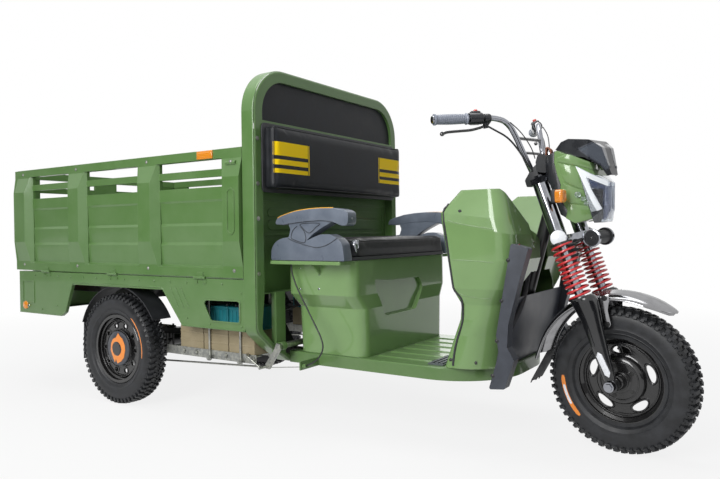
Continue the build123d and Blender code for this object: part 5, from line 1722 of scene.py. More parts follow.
@dataclass
class Armrest:
    """An armrest: a foot with a stem, a padded top, and inlaid lines."""

    outer: float = 468.0
    inner: float = 412.0
    foot: Outline = (
        (908, 692), (911, 736), (926, 760), (950, 775), (978, 782), (1002, 784), (1006, 797), (1012, 815),
        (1000, 838), (1079, 848), (1165, 850), (1219, 843), (1182, 827), (1150, 811), (1118, 793),
        (1090, 768), (1121, 782), (1158, 794), (1202, 795), (1240, 779), (1262, 757),
        (1270, 702), (1270, 692),
    )
    top: Outline = (
        (934, 836), (936, 850), (944, 861), (965, 870), (1029, 886), (1090, 893), (1150, 896), (1219, 895),
        (1262, 889), (1288, 875), (1291, 855), (1288, 834), (1274, 825), (1256, 826), (1240, 834),
        (1218, 841), (1165, 847), (1079, 844), (1004, 837), (977, 833),
    )
    end: Outline = ((1266, 889.5), (1290, 877), (1292.5, 855), (1289.5, 832), (1273, 823.5), (1269, 860))
    line: Outline = ((945, 863), (965, 871), (1029, 887), (1090, 894), (1150, 897), (1222, 896))
    inlays: Sequence[Outline] = (
        ((977, 832.5), (1004, 836.5), (1079, 843.5), (1165, 846.5), (1217, 840.5)),
        ((1060, 832), (1079, 838), (1156, 837), (1140, 822), (1104, 800), (1060, 832)),
        ((1047, 828), (1026, 812), (1017, 791), (1022, 777), (1078, 762), (1090, 780), (1082, 806),
         (1064, 824)),
        ((1000, 779), (1030, 768), (1074, 756), (1121, 746), (1151, 744), (1193, 754), (1240, 779)),
    )

    def build(self, side: str, way: int) -> None:
        """Makes the armrest of one side.

        Args:
            side: right or left.
            way: -1 on the right and 1 on the left.
        """
        wide = sorted((way * self.inner, way * self.outer))
        body = Form().prism(round_outline(self.foot, 10), wide[0] + 2, wide[1] - 1, SIDE).bevel(3.5, 3, 40)
        top = Form().prism(round_outline(self.top, 8), *wide, SIDE).bevel(8, 4, 40)
        body.join(top).put(f"armrest_body_{side}", Finishes.ARMREST, stands_for=("armrests",), crease=50)
        cap = Form().prism(round_outline(self.end, 7), wide[0] - 0.6, wide[1] + 0.6, SIDE).bevel(10, 4, 40)
        cap.put(f"armrest_end_{side}", Finishes.ARMREST)
        edge = way * (self.outer - 5)
        line = Form().tube(smooth([(x, edge, z - 1.4) for x, z in self.line], 6), 2.4, 8)
        line.put(f"armrest_line_{side}", Finishes.YELLOW)
        grooves = Form()
        for run in self.inlays:
            path = smooth([(x, way * (self.outer - 0.9), z) for x, z in run], 5)
            grooves.tube(path, 1.3, 6)
        grooves.put(f"armrest_inlay_{side}", Finishes.BLACK_PLASTIC)
        Fasteners(Head.DOME, 4.5, 3.0, 6.0).place(
            f"armrest_screw_{side}", [((1290.5, way * 440, 853), (1, 0, -0.1))], Finishes.CHROME)


@dataclass
class Seat:
    """Pads, armrests, the board behind the backrest, the lid's lock and the base's screws."""

    lid_pad: Pad = field(default_factory=lambda: Pad(
        "seat_pad", "seat_cushion", "seat_lid", Finishes.LEATHER, (0, 0, -1), 8.0, 4.0, 6.0, 0.85))
    back_pad: Pad = field(default_factory=lambda: Pad(
        "backrest_pad", "backrest_cushion", "chassis", Finishes.STRIPED, (-1, 0, 0), 6.0, 3.0, 6.0, 0.9))
    screws: Outline = ((1007, 658), (1103, 634), (1005, 573), (1100, 577))
    half: float = 402.0

    def loop(self, low: Point, high: Point, radius: float, steps: int = 5) -> list[tuple[float, float]]:
        """Returns a rounded rectangle with points every few millimetres."""
        corners = round_outline(
            [(low[0], low[1]), (high[0], low[1]), (high[0], high[1]), (low[0], high[1])], radius, steps
        )
        made = []
        for (x0, y0), (x1, y1) in zip(corners, corners[1:] + corners[:1]):
            count = max(1, int(math.hypot(x1 - x0, y1 - y0) / 14))
            made += [(x0 + (x1 - x0) * k / count, y0 + (y1 - y0) * k / count) for k in range(count)]
        return made

    def pads(self) -> None:
        """Makes the seat's pad and the backrest's with their pipings, and the backrest's board."""
        made = self.lid_pad.build()
        ring = [(x, y, 784) for x, y in self.loop((956, -402), (1278, 402), 26)]
        self.lid_pad.piping(made, ring, 2.6, "seat_piping")
        made = self.back_pad.build()
        ring = [(968, y, z) for y, z in self.loop((-511, 968), (511, 1244), 22)]
        self.back_pad.piping(made, ring, 2.6, "backrest_piping")
        board = Form().prism(self.loop((-513, 966), (513, 1246), 22), 903.5, 911, END).bevel(2)
        board.put("backrest_board", Finishes.BLACK_PLASTIC)

    def lock(self) -> None:
        """Adds the chrome lock with its staple at the front corner of the lid."""
        turn = Matrix.Translation((1270, -402, 758)) @ turn_by(75, "Y")
        barrel = [(0.01, 0), (13, 0), (14, 3), (11, 14), (7, 17), (0.01, 17)]
        form = Form().lathe(barrel, 24, False).moved(turn)
        form.tube(smooth([(1276, -416, 764), (1288, -424, 752), (1290, -414, 730),
                                      (1282, -404, 724)], 5), 4.2, 10)
        form.join(Form().box((1266, -396, 738), (1279, -376, 772)).bevel(3))
        form.put("seat_lock", Finishes.CHROME, "seat_lid")

    def base(self) -> None:
        """Adds the screws on both sides of the seat base."""
        spots = [((x, -self.half + 3, z), (0, -1, 0.05)) for x, z in self.screws]
        spots += [((x, self.half - 3, z), (0, 1, 0.05)) for x, z in self.screws]
        Fasteners(Head.DOME, 5.5, 3.5, 8.5).place("seat_base_screws", spots, Finishes.CHROME)

    def build(self) -> None:
        """Builds the seat's pieces."""
        self.pads()
        Armrest().build("right", -1)
        Armrest().build("left", 1)
        self.lock()
        self.base()


# ---------------------------------------------------------------- headlamp

def outset(corners: Outline, amount: float) -> list[tuple[float, float]]:
    """Moves the sides of an outline outwards.

    Args:
        corners: of the outline.
        amount: how far.

    Returns:
        The larger outline.
    """
    points = [Vector(c) for c in corners]
    middle = sum(points, Vector((0, 0))) / len(points)
    made = []
    for i, point in enumerate(points):
        sides = (point - points[i - 1], points[(i + 1) % len(points)] - point)
        outward = []
        for side in sides:
            normal = Vector((side.y, -side.x)).normalized()
            outward.append(normal if normal.dot(point - middle) > 0 else -normal)
        mean = (outward[0] + outward[1]).normalized()
        spot = point + mean * amount / max(0.35, mean.dot(outward[0]))
        made.append((spot.x, spot.y))
    return made


class OnSteering:
    """What turns with the handlebar, measured from one of its datums."""

    datum: ClassVar[Matrix] = DATUMS.fork

    def put(self, form: Form, name: str, finish: Finish, *stands_for: str) -> Thing:
        """Finishes a form on the steering."""
        return form.put(name, finish, "steering", self.datum, stands_for)


@dataclass
class Headlamp(OnSteering):
    """Panels, light guide, reflector, lens and visor window on the headlamp's housing."""

    datum: ClassVar[Matrix] = DATUMS.lamp
    shell_side: Outline = (
        (101, -38), (76, 30), (61, 85), (39, 100), (39, 166), (91, 190), (193, 140), (227, 30), (213, -50),
        (151, -68),
    )
    shell_plan: Outline = (
        (38, -92), (61, -115), (141, -112), (193, -80), (229, -24), (229, 24), (193, 80), (141, 112),
        (61, 115), (38, 92),
    )
    glass_side: Outline = ((158, 130), (236, 76), (250, 68), (245, -28), (229, -72), (205, -72))
    glass_plan: Outline = (
        (141, -116), (201, -82), (237, -27), (252, -10), (252, 10), (237, 27), (201, 82), (141, 116),
    )
    peak_side: Outline = (
        (71, 196), (93, 222), (120, 231), (196, 222), (230, 192), (254, 96), (243, 92), (226, 128),
        (180, 160), (100, 176),
    )
    peak_plan: Outline = (
        (60, -82), (190, -84), (236, -50), (262, -20), (262, 20), (236, 50), (190, 84), (60, 82),
    )
    ridge: Outline = ((92, 150), (94, 166), (143, 180), (207, 134), (206, 116), (166, 131))
    cheek: Outline = ((96, 146), (158, 127), (188, 48), (180, 44), (117, 78), (106, 104))
    recess: Outline = ((111, 72), (180, 42), (190, 44), (206, -2), (197, -9), (131, 3), (116, 20))
    chin: Outline = ((131, -1), (197, -13), (221, -42), (219, -90), (150, -90), (118, -58))
    blue: Outline = ((161, 124), (236, 72), (238, -40), (224, -62), (213, -26))
    arms: Outline = ((156, 130), (240, 72), (238, 56), (185, 92), (224, -24), (213, -30))
    back: Outline = (
        (10, 190), (82, 190), (80, 150), (90, 104), (102, 70), (98, 30), (116, -10), (140, -50), (146, -90),
        (10, -90),
    )
    window: Outline = (
        (157, 191), (205, 210), (229, 204), (241, 188), (252, 132), (243, 112), (226, 134), (196, 160),
    )

    def hull(self, side: Outline, plan: Outline, grow: float) -> Form:
        """Form that has both a side outline and a plan, grown by a distance."""
        wide = Form().prism(outset(side, grow), -140, 140, SIDE)
        return wide.within(Form().prism(outset(plan, grow), -140, 300))

    def overlay(self, patch: Outline, side: Outline, plan: Outline, grow: float, inner: float) -> Form:
        """Takes the two flanks of a hull that lie inside a patch of the side view.

        Args:
            patch: the patch.
            side: the hull's side outline.
            plan: the hull's plan.
            grow: how far the hull stands off them.
            inner: distance from the middle that each flank reaches in to.

        Returns:
            Both flanks.
        """
        flank = Form().prism(patch, -140, -inner, SIDE).within(self.hull(side, plan, grow))
        return flank.mirrored()

    def housing(self) -> None:
        """Green panels, a green recess, back cover, light guide, reflector and bowls on the housing."""
        f, shell = Finishes, (self.shell_side, self.shell_plan)
        panels = self.overlay(self.ridge, *shell, 3.5, 20).bevel(1.2)
        panels.join(self.overlay(self.cheek, *shell, 2.5, 60).bevel(1.2))
        panels.join(self.overlay(self.chin, *shell, 3.0, 14).bevel(1.2))
        self.put(panels, "lamp_side_panels", f.MOULDING)
        self.put(self.overlay(self.recess, *shell, 1.0, 60), "lamp_recess", f.MOULDING)
        self.put(self.overlay(self.back, *shell, 1.4, 8).bevel(0.6), "lamp_back_cover", f.VISOR_PLASTIC)
        glass = (self.glass_side, self.glass_plan)
        nose = Form().prism(self.blue, -140, 140, SIDE).within(self.hull(*glass, -4))
        self.put(nose, "lamp_reflector", f.LAMP_BLUE)
        guide = self.overlay(self.arms, *glass, 2.0, 14).bevel(0.8)
        self.put(guide, "lamp_light_guide", f.LIGHT_GUIDE)
        facets = Form()
        for way in (-1, 1):
            for x, z, reach in ((214, 44, 9), (221, 20, 8), (222, -6, 7)):
                facets.join(Form().lathe(
                    [(reach, 0), (reach + 2.5, 0), (reach + 2.5, 6), (reach, 3),
                     (reach * 0.5, 1), (0.01, 0.5)],
                    20, False,
                ).moved(aimed((x, way * 36, z), (0.84, way * 0.54, 0))))
        for z, reach in ((30, 19), (-16, 16)):
            facets.join(Form().lathe(
                [(reach - 1, 1), (reach, 0), (reach + 2, 8), (reach, 8), (reach * 0.6, 2),
                 (0.01, 0.6)], 32, False
            ).moved(aimed((228 + (z - 30) * 0.17, 0, z), (1, 0, 0))))
        self.put(facets, "lamp_bowls", f.CHROME)

    def lens(self) -> None:
        """The clear lens, a thin shell over the reflector."""
        made = self.put(
            self.hull(self.glass_side, self.glass_plan, 0).bevel(4, 3), "lamp_lens", Finishes.LENS,
            "headlamp_lens")
        wall = made.modifiers.new("wall", "SOLIDIFY")
        wall.thickness, wall.offset = 0.0016, -1

    def visor(self) -> None:
        """Smoked window and its rim on the flanks of the visor."""
        peak = (self.peak_side, self.peak_plan)
        self.put(self.overlay(self.window, *peak, 0.8, 26), "visor_window", Finishes.SMOKE)
        rim = Form()
        for (x0, z0), (x1, z1) in zip(self.window[-1:] + self.window, self.window):
            if z0 + z1 < 320 or x0 + x1 < 400:
                along = Vector((x1 - x0, z1 - z0)).normalized() * 2.2
                across = Vector((-along.y, along.x))
                quad = [Vector((x0, z0)) - along + across, Vector((x1, z1)) + along + across,
                        Vector((x1, z1)) + along - across, Vector((x0, z0)) - along - across]
                rim.join(self.overlay([tuple(q) for q in quad], *peak, 1.8, 26))
        self.put(rim, "visor_rim", Finishes.GUARD_PLASTIC)

    def indicators(self) -> None:
        """Black shells with amber lenses, and the small clear lamps in the recesses."""
        amber = Form().box((106, -192, 4), (142, -150, 50)).bevel(9, 3).mirrored()
        self.put(amber, "indicator_lenses", Finishes.AMBER, "front_indicators")
        shells = Form().box((97, -193, 3), (117, -148, 51)).bevel(7, 3)
        shells.join(Form().lathe([(0.01, 0), (10, 0), (10, 9), (7, 14), (7, 52), (0.01, 52)], 20, False).moved(
            aimed((113, -149, 27), (0, 1, 0))))
        self.put(shells.mirrored(), "indicator_shells", Finishes.BLACK_PLASTIC)
        small = Form()
        for x, z, size in ((160, 30, 11), (176, 14, 9), (184, -2, 8)):
            small.join(Form().lathe(
                [(0.01, 0), (size, 0), (size, 4), (size * 0.7, 8), (0.01, 9.5)], 16, False
            ).moved(aimed((x, -104 + (x - 160) * 0.62, z), (0.5, -0.86, 0))))
        self.put(small.mirrored(), "lamp_side_bulbs", Finishes.LENS)

    def console(self) -> None:
        """Gauge, key switch and the loom behind the housing."""
        top = Matrix.Translation((16, 0, 185.5)) @ turn_by(-14, "Y")
        dial = Form().lathe([(29, -2), (33, -2), (33, 3), (31, 5), (29, 5), (28, 3)], 40).moved(top)
        self.put(dial, "gauge_ring", Finishes.CHROME)
        glass = Form().lathe([(0.01, -1), (29, -1), (29, 2), (20, 3.4), (0.01, 4)], 40, False).moved(top)
        self.put(glass, "gauge_face", Finishes.SMOKE)
        key = Form().lathe([(0.01, 0), (9, 0), (9, 6), (7, 8), (0.01, 8)], 20, False)
        key.join(Form().box((-1.5, -7, 8), (1.5, 7, 22)).bevel(1))
        self.put(
            key.moved(Matrix.Translation((8, -52, 186)) @ turn_by(-14, "Y")),
            "key_switch", Finishes.CHROME)
        loom = Form()
        for k in range(5):
            shift = 4.0 * (k - 2)
            loom.tube(smooth([
                (30, -52 + shift, 150), (26, -60 + shift * 0.6, 178 + k), (34, -66 + shift, 208 - k),
                (46, -62 + shift, 196), (44, -56 + shift, 172), (34, -62 + shift * 0.4, 148),
            ], 5), 2.6, 8)
        self.put(loom, "lamp_loom", Finishes.COPPER_WIRE)

    def build(self) -> None:
        """Builds the headlamp's pieces."""
        self.housing()
        self.lens()
        self.visor()
        self.indicators()
        self.console()


# ---------------------------------------------------------------- fork

@dataclass
class Fork(OnSteering):
    """Springs, leg shrouds, reflectors, fender and horn trim on the front fork."""

    x: float = 44.0
    y: float = 105.5
    spring: tuple[float, float, float, float] = (-383.0, -168.0, 37.8, 4.1)
    turns: float = 11.0
    shroud: Sequence[tuple[float, float, float, float]] = (
        (-372, 50, 43, 35), (-380, 53, 46, 36), (-392, 54, 46, 35), (-430, 55, 41, 31), (-476, 54, 33, 27),
        (-540, 51, 29, 24), (-600, 48, 25, 22), (-664, 45, 22, 20), (-674, 44, 20, 18),
    )
    wheel_centre: Point = (266.2, 0.0, -638.0)
    fender_radius: float = 322.0
    fender_angles: tuple[float, float] = (53.5, 160.0)

    def springs(self) -> None:
        """Winds the two open springs, their turns a little further apart at the ends than in the middle."""
        low, high, radius, wire = self.spring
        for side, way in WAYS:
            path = []
            steps = int(self.turns * 26)
            for k in range(steps + 1):
                share = k / steps
                rise = share + 0.022 * math.sin(2 * math.pi * share)
                turn = 2 * math.pi * self.turns * share
                path.append((
                    self.x + radius * math.cos(turn), way * self.y + radius * math.sin(turn),
                    low + wire + (high - low - 2 * wire) * rise,
                ))
            stands = ("fork_springs",) if way < 0 else ()
            self.put(Form().tube(path, wire, 10), f"fork_spring_{side}", Finishes.SPRING_RED, *stands)

    def legs(self) -> None:
        """Tapered shrouds round the legs, with collars, lug nuts and reflectors."""
        shrouds = Form()
        for way in (-1, 1):
            rows = [
                [(middle + a * math.cos(t), way * self.y + b * math.sin(t), z)
                 for t in (2 * math.pi * k / 40 for k in range(40))]
                for z, middle, a, b in self.shroud
            ]
            shrouds.join(Form().skin(rows, closed=True).cap())
            for z, wide in ((-371.5, 42), (-168, 40)):
                shrouds.join(Form().lathe(
                    [(21, z - 4), (wide, z - 4), (wide + 1.5, z), (wide, z + 4), (21, z + 4)], 40
                ).moved(Matrix.Translation((self.x, way * self.y, 0))))
        self.put(shrouds, "fork_leg_shrouds", Finishes.FORK_PAINT)
        hexagon = ((37, -580), (47, -566), (58, -577), (65, -644), (56, -659), (44, -648))
        plates = Form().prism(hexagon, -self.y - 26, -self.y - 20, SIDE).bevel(1.5)
        round_one = Form().lathe([(0.01, 0), (27, 0), (29, 3), (27, 7), (18, 9), (0.01, 10)], 40, False).moved(
            aimed((52, -self.y - 26, -148), (0.35, -0.94, 0)))
        self.put(plates.join(round_one).mirrored(), "fork_reflectors", Finishes.WHITE)
        axle = DATUMS.fork.inverted() @ hinge("front_wheel_spin")[0]
        nuts = [((axle.x, way * (self.y + 29), axle.z), (0, way, 0)) for way in (-1, 1)]
        Fasteners(Head.HEX, 13, 16, 18).place("axle_nuts", nuts, Finishes.CHROME, "steering", DATUMS.fork)
        clamps = [((self.x - 30, way * (self.y - 14), z), (-1, 0, 0)) for way in (-1, 1) for z in (-150, 75)]
        clamps += [((self.x + 25, way * (self.y - 22), z), (1, 0, 0)) for way in (-1, 1) for z in (-150, 75)]
        Fasteners(Head.HEX, 6, 8, 9).place("crown_bolts", clamps, Finishes.ZINC, "steering", DATUMS.fork)

    def section(self, turn: float, share: float) -> list[tuple[float, float, float]]:
        """Points across the fender at an angle: a ridge, two crowns and rolled edges."""
        r = self.fender_radius
        across = [(66, r - 27), (67, r - 21), (64, r - 17), (50, r - 10), (30, r - 4), (12, r - 1.5),
                  (7, r + 0.5), (3, r), (0, r)]
        half = [(y * share, r - (r - rise) * (0.3 + 0.7 * share)) for y, rise in across]
        outer = [(-y, rise) for y, rise in half] + [(y, rise) for y, rise in reversed(half[:-1])]
        inner = [(y * 0.97, rise - 2.2) for y, rise in reversed(outer)]
        return [(rise * math.cos(turn), y, rise * math.sin(turn)) for y, rise in outer + inner]

    def fender(self) -> None:
        """Stainless fender with a pointed front, its stays and the rubber flap."""
        datum = DATUMS.lamp @ Matrix.Translation(self.wheel_centre)
        first, last = self.fender_angles
        rows = []
        for k in range(57):
            angle = first + (last - first) * k / 56
            share = min(1.0, 0.30 + math.sqrt(max(0.0, (angle - first) / 15)) * 0.70)
            rows.append(self.section(math.radians(angle), share))
        turn = math.radians(last)
        back = Vector((-math.sin(turn), 0, math.cos(turn)))
        rows += [[Vector(p) + back * reach for p in rows[-1]] for reach in (28, 56)]
        sheet = Form().skin(rows, closed=True).cap()
        for way in (-1, 1):
            sheet.tube(
                [Vector(row[0 if way < 0 else 16]) * 0.999 for row in rows[9:]], 2.6, 8)
        sheet.put(
            "fender_sheet", Finishes.STAINLESS, "steering", datum, stands_for=("front_fender",),
            crease=40)
        plate = round_outline(((52, -392), (132, -384), (127, -404), (108, -440), (102, -492), (88, -500),
                               (80, -482), (66, -436)), 8)
        stays = Form().prism(plate, -73.5, -70, SIDE).bevel(0.8)
        stays.join(Form().prism(((20, -382), (96, -382), (96, -388), (20, -388)), -100, -64, SIDE).bevel(1))
        self.put(stays.mirrored(), "fender_stays", Finishes.STAINLESS)
        Fasteners(Head.HEX, 6, 7, 10).place("fender_bolts", [
            ((x, way * 75, z), (0, way, 0)) for way in (-1, 1) for x, z in ((90, -486), (112, -396))
        ], Finishes.FRAME_PAINT, "steering", DATUMS.fork)
        flap = Form()
        rows = []
        down = Vector((-0.50, 0, -0.866))
        start = Vector((-274, 0, 62))
        for k in range(15):
            y = -50 + 100 * k / 14
            ragged = 118 + (9 if k % 2 else -4) + 6 * math.sin(k * 1.9)
            low = start + down * ragged + Vector((0, y * 0.96, 0))
            high = start + Vector((0, y, 0)) - down * 24
            rows.append([high, low, low + Vector((3.2, 0, -1.4)), high + Vector((3.2, 0, -1.4))])
        flap.skin(rows, closed=True).cap()
        flap.put("fender_flap", Finishes.FLAP, "steering", datum)

    def horns(self) -> None:
        """Chrome rims and grille rings on the two horns."""
        rims, grilles = Form(), Form()
        for way in (-1, 1):
            face = aimed((139, way * 68, -182), (0, way, 0))
            rim = [(27, -10), (32.5, -10), (33.5, -4), (32.5, 2), (29, 3), (27, 1)]
            rims.join(Form().lathe(rim, 48).moved(face))
            for r in (22, 16, 10):
                grilles.join(Form().lathe([(r - 1.6, 0), (r, 2.4), (r + 1.6, 0), (r, -1)], 36).moved(face))
            grilles.join(Form().lathe([(0.01, 0), (5, 0), (4.4, 3), (0.01, 4)], 20, False).moved(face))
        self.put(rims, "horn_rims", Finishes.CHROME)
        self.put(grilles, "horn_grilles", Finishes.FORK_PAINT)

    def build(self) -> None:
        """Builds the fork's pieces."""
        self.springs()
        self.legs()
        self.fender()
        self.horns()


# ---------------------------------------------------------------- front cover

def hug(nodes: Sequence[str], path: Iterable[Point], lift: float) -> list[Vector]:
    """Lays points on the nearest surface of CAD nodes.

    Args:
        nodes: the nodes.
        path: points in millimetres from the ground under the rear axle.
        lift: how far they stand off the surface.

    Returns:
        The points, in the same millimetres.
    """
    trees = []
    for node in nodes:
        form = copy_of(node)
        trees.append(BVHTree.FromBMesh(form.mesh))
        form.mesh.free()
    shift = Vector((CHASSIS.translation.x * 1000, 0, 0))
    made = []
    for spot in path:
        found = min((tree.find_nearest(Vector(spot) + shift) for tree in trees), key=lambda hit: hit[3])
        made.append(found[0] - shift + found[1] * lift)
    return made


@dataclass
class FrontCover:
    """Trims, creases, strips and screws on the leg shield and its guards."""

    trim: Outline = (
        (1606, 938), (1618, 885), (1640, 733), (1650, 592), (1680, 539), (1662, 422), (1654, 318),
    )
    creases: Sequence[Outline] = (
        ((1640, 842), (1700, 826), (1820, 806)), ((1654, 698), (1760, 694), (1864, 686)),
        ((1664, 567), (1740, 556), (1812, 545)),
    )
    edge: Outline = ((1898, 752), (1890, 690), (1876, 610), (1866, 560))

    def build(self) -> None:
        """Builds the cover's pieces."""
        trims, strips, seams = Form(), Form(), Form()
        for way in (-1, 1):
            path = smooth([(x, way * 356, z) for x, z in self.trim], 10)
            trims.tube(smooth(hug(["leg_shield"], path[::5], 0.5), 3), 4.2, 8)
            for run in self.creases:
                path = smooth([(x, way * 358, z) for x, z in run], 8)
                seams.tube(smooth(hug(["leg_shield"], path[::4], -0.6), 3), 1.7, 6)
            path = smooth([(x, way * 322, z) for x, z in self.edge], 5)
            strips.tube(hug(["front_shroud"], path, 0.6), 3.2, 8)
        trims.put("shield_trims", Finishes.BLACK_PLASTIC)
        seams.put("shield_creases", Finishes.MOULDING)
        strips.put("guard_strips", Finishes.MAROON)
        spots = []
        for way in (-1, 1):
            for x, z in ((1866, 700), (1845, 560), (1822, 420), (1806, 300)):
                spot = hug(["front_shroud"], [(x, way * 370, z)], 0.0)[0]
                spots.append((spot, (0, way, 0)))
            for x, z in ((1690, 880), (1640, 340), (1760, 330)):
                spot = hug(["leg_shield"], [(x, way * 370, z)], 0.0)[0]
                spots.append((spot, (0, way, 0)))
        Fasteners(Head.DOME, 4.5, 3, 7).place("cover_screws", spots, Finishes.FRAME_PAINT)


# ---------------------------------------------------------------- cargo box

@dataclass
class CargoBox:
    """Reflectors, rolled edges, rivets and bolts on the cargo box and its headboard."""

    arch: Outline = (
        (-809, 396), (-428, 396), (-395, 415), (-333, 558), (-318, 566), (336, 566), (350, 556), (472, 408),
        (600, 408), (834, 408),
    )
    end: float = 551.0

    def reflectors(self) -> None:
        """Amber reflectors on the top rails and round markers at the rear."""
        for side, way in WAYS:
            node = f"side_panel_{side}"
            face = hug([node], [(626, way * 640, 1131)], 0.0)[0].y
            low, high = sorted((face - way * 3, face + way * 7))
            # The amber lens finish gives this reflector plate a painted glow.
            plate = Form().box((580, low, 1114), (671, high, 1149)).bevel(3.5, 3)
            plate.put(f"rail_reflector_{side}", Finishes.AMBER, node)
            disc = Form().lathe(
                [(0.01, -6), (21, -6), (22, 2), (19, 6), (12, 8), (0.01, 9)], 36, False
            ).moved(aimed((-752, way * self.end, 433), (0, way, 0)))
            disc.put(f"rear_marker_{side}", Finishes.AMBER)
            lobe = Form().lathe([(0.01, -5), (9, -5), (9, 3), (6, 6), (0.01, 7)], 24, False).moved(
                aimed((-722, way * self.end, 431), (0, way, 0)))
            lobe.put(f"rear_lobe_{side}", Finishes.LENS)

    def beads(self) -> None:
        """Rolled edges along the skirts' arches."""
        rolled = Form()
        for way in (-1, 1):
            rolled.tube([(x, way * (self.end - 1.5), z) for x, z in self.arch], 3.6, 8)
        rolled.put("skirt_beads", Finishes.ENAMEL)

    def fixings(self) -> None:
        """Bolts and rivets on the skirts, the sides, the tailgate and the headboard."""
        chassis, zinc = [], []
        for way in (-1, 1):
            chassis += [((x, way * self.end, 594), (0, way, 0)) for x in range(-770, 820, 106)]
            chassis += [((x, way * self.end, z), (0, way, 0)) for x, z in
                        ((-466, 441), (-600, 420), (500, 440), (640, 424), (820, 424), (820, 560))]
            zinc += [((905, way * 534, z), (1, 0, 0)) for z in (640, 860, 1000, 1180)]
            zinc += [((838, way * 520, z), (-1, 0, 0)) for z in (700, 900, 1180)]
        Fasteners(Head.DOME, 5, 3, 0.2).place("skirt_rivets", chassis, Finishes.ENAMEL)
        Fasteners(Head.HEX, 6, 5, 9).place("headboard_bolts", zinc, Finishes.ZINC)
        for side, way in WAYS:
            node = f"side_panel_{side}"
            spots = [(hug([node], [(x, way * 640, z)], 0.0)[0], (0, way, 0))
                     for x in (-760, -286, 250, 784) for z in (650, 1128)]
            Fasteners(Head.DOME, 5, 3, 8).place(f"side_rivets_{side}", spots, Finishes.ZINC, node)
        spots = [(hug(["tailgate"], [(-900, y, z)], 0.0)[0], (-1, 0, 0))
                 for y in (-480, -160, 160, 480) for z in (650, 1128)]
        Fasteners(Head.DOME, 5, 3, 8).place("tailgate_rivets", spots, Finishes.ZINC, "tailgate")

    def build(self) -> None:
        """Builds the box's pieces."""
        self.reflectors()
        self.beads()
        self.fixings()


# ---------------------------------------------------------------- running gear

@dataclass
class RunningGear:
    """Battery cases, lids and links, and the nuts of their tray, between the wheels."""

    first: float = 380.0
    pitch: float = 150.0
    length: float = 144.0
    across: tuple[float, float] = (308.0, 480.0)
    levels: tuple[float, float, float] = (294.0, 396.0, 490.0)

    def build(self) -> None:
        """Builds the pieces between the wheels."""
        low_cases, lids, straps = Form(), Form(), Form()
        inner, outer = self.across
        floor, waist, top = self.levels
        for k in range(3):
            start = self.first + self.pitch * k
            stop = start + self.length
            low_cases.join(Form().box(
                (start - 0.6, inner - 0.6, floor), (stop + 0.6, outer + 0.8, waist)).bevel(2.5))
            for rise in (0.34, 0.7):
                z = floor + (waist - floor) * rise
                low_cases.join(Form().box((start, outer, z), (stop, outer + 2.2, z + 7)).bevel(1))
            for j in range(6):
                x = start + 14 + 23 * j
                lids.join(Form().box((x, outer - 1, waist + 12), (x + 9, outer + 2.6, top - 14)).bevel(1.2))
            lids.join(Form().box((start - 1, inner - 1, top - 9), (stop + 1, outer + 2, top + 1)).bevel(2))
            for x in (start + 24, stop - 24):
                straps.join(Form().lathe([(0.01, 0), (7, 0), (7, 9), (5, 11), (0.01, 11)], 16, False).moved(
                    Matrix.Translation((x, outer - 22, top))))
            straps.tube(smooth([
                (start + 24, outer - 22, top + 6), (start + 24, outer - 40, top + 10),
                (stop - 24, outer - 40, top + 10), (stop - 24, outer - 22, top + 6),
            ], 6), 3.2, 8)
        low_cases.mirrored().put("battery_low_cases", Finishes.BATTERY_LOW)
        lids.mirrored().put("battery_lids", Finishes.BATTERY)
        straps.mirrored().put("battery_links", Finishes.BLACK_CABLE)
        low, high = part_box("battery_tray")
        spots = []
        for way in (-1, 1):
            for x in (570, 752):
                spots.append(((x, way * high[1] * 1000, (low[2] + 0.012) * 1000), (0, way, 0)))
            for x in (400, 480, 660, 820):
                spots.append(((x, way * (outer + 6), 281), (0, way, 0)))
        Fasteners(Head.HEX, 7, 7, 11).place("tray_nuts", spots, Finishes.ZINC)


# ---------------------------------------------------------------- handlebar

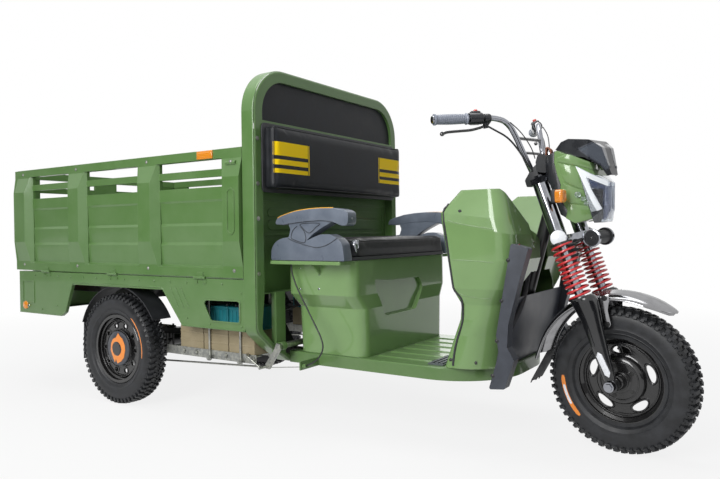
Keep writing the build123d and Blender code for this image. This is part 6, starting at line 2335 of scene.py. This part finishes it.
@dataclass
class Handlebar(OnSteering):
    """Chrome bar with its braces, ribbed grips, housings, levers and switches."""

    bar: Sequence[Point] = (
        (6, -14, 100), (6.5, -46, 103), (8, -62, 140), (10.5, -84, 208), (13.5, -106, 274), (12, -124, 312),
        (2, -154, 338), (-26, -212, 355), (-72, -292, 367), (-126, -386, 381),
    )
    end: Point = (-127.0, -387.0, 381.0)
    knee: Point = (0.0, -168.0, 345.0)
    grip: float = 128.0

    def along(self, back: float) -> Matrix:
        """Datum on the grip's axis, a distance in from its end, z outward."""
        end, knee = Vector(self.end), Vector(self.knee)
        out = (end - knee).normalized()
        return toward(end - out * back, out, (0, 0, 1))

    def build(self) -> None:
        """Builds the bar's pieces."""
        bar = Form().tube(smooth(self.bar, 6), 11, 20).mirrored()
        braces = Form()
        for z, radius in ((262, 6.5), (204, 5.5)):
            share = (z - 208) / (274 - 208)
            y, x = 84 + 22 * share, 10.5 + 3 * share
            braces.tube([(x, -y - 2, z), (x, y + 2, z)], radius, 14)
        self.put(braces, "bar_braces", Finishes.FORK_PAINT)
        bar.join(Form().box((-12, -58, 88), (24, -32, 122)).bevel(4, 3).mirrored())
        self.put(bar, "bar_tube", Finishes.CHROME, "handlebar")
        grips, plugs, boxes, levers, knobs = Form(), Form(), Form(), Form(), Form()
        profile = [(11.5, -self.grip), (21, -self.grip), (21.5, -self.grip + 3), (18, -self.grip + 6)]
        steps = 15
        for k in range(steps):
            z = -self.grip + 11 + (self.grip - 20) * k / (steps - 1)
            crown = 17.6 + 1.4 * math.sin(math.pi * k / (steps - 1))
            profile += [(crown - 0.8, z - 3.2), (crown, z - 2.2), (crown, z + 2.0), (crown - 0.8, z + 3.0)]
        profile += [(18, -4), (20.5, -2), (20.5, 3), (11.5, 4)]
        grips.join(Form().lathe(profile, 32).moved(self.along(0)))
        plugs.join(Form().lathe([(0.01, 0), (12, 0), (15, 3), (14, 7), (8, 9), (0.01, 9)], 24, False).moved(
            self.along(-3)))
        boxes.join(Form().lathe([(11.4, 0), (20, 0), (22, 3), (22, 50), (20, 54), (11.4, 54)], 28).moved(
            self.along(190)))
        boxes.join(Form().box((-20, -16, 6), (26, 18, 48)).bevel(6, 3).moved(self.along(190)))
        collar = [(11.4, 0), (19, 0), (19.5, 2), (19.5, 9), (11.4, 9)]
        plugs.join(Form().lathe(collar, 28).moved(self.along(145)))
        boxes.join(Form().lathe([(11.4, 0), (16, 0), (17, 3), (17, 22), (16, 24), (11.4, 24)], 24).moved(
            self.along(222)))
        knobs.join(Form().lathe([(0.01, 0), (8, 0), (8, 8), (6, 11), (0.01, 11)], 20, False).moved(
            self.along(170) @ Matrix.Translation((24, 0, 0)) @ turn_by(90, "Y")))
        pivot = Vector((-36, -206, 330))
        boxes.tube([(-20, -196, 344), pivot], 9, 12)
        pin = Vector((3, -2, 11))
        boxes.tube([pivot + pin, pivot - pin], 10, 16)
        lever = smooth([pivot, (-44, -236, 322), (-62, -276, 318), (-84, -312, 322), (-112, -350, 328),
                        (-122, -364, 327)], 6)
        levers.tube(lever, 5.2, 12)
        levers.join(Form().lathe(
            [(0.01, -8.5), (5, -7), (8, -3), (8, 3), (5, 7), (0.01, 8.5)], 20, False
        ).moved(Matrix.Translation((-126, -370, 326))))
        self.put(grips.mirrored(), "ribbed_grips", Finishes.GRIP, "handlebar_grips")
        self.put(plugs.mirrored(), "grip_plugs", Finishes.CHROME)
        self.put(boxes.mirrored(), "switch_housings", Finishes.VISOR_PLASTIC, "hand_controls")
        self.put(levers.mirrored(), "brake_levers", Finishes.FORK_PAINT)
        self.put(knobs.mirrored(), "switch_knobs", Finishes.SWITCH_RED)
        cover = Form().prism(round_outline((
            (-52, 66), (-60, 92), (-34, 132), (-10, 152), (-6, 112), (18, 104), (4, 72)), 5), -70, 70, SIDE)
        cover.bevel(3).put("crown_cover", Finishes.BLACK_PLASTIC, "steering", DATUMS.lamp)


def main() -> None:
    """Builds the studio and each sub-assembly in order."""
    logging.basicConfig(level=logging.INFO, format="%(name)s: %(message)s")
    Studio().build()
    Cables().build()
    dress_all()
    Wheels().build()
    Seat().build()
    Headlamp().build()
    Fork().build()
    FrontCover().build()
    CargoBox().build()
    RunningGear().build()
    Handlebar().build()


if __name__ == "__main__":
    main()
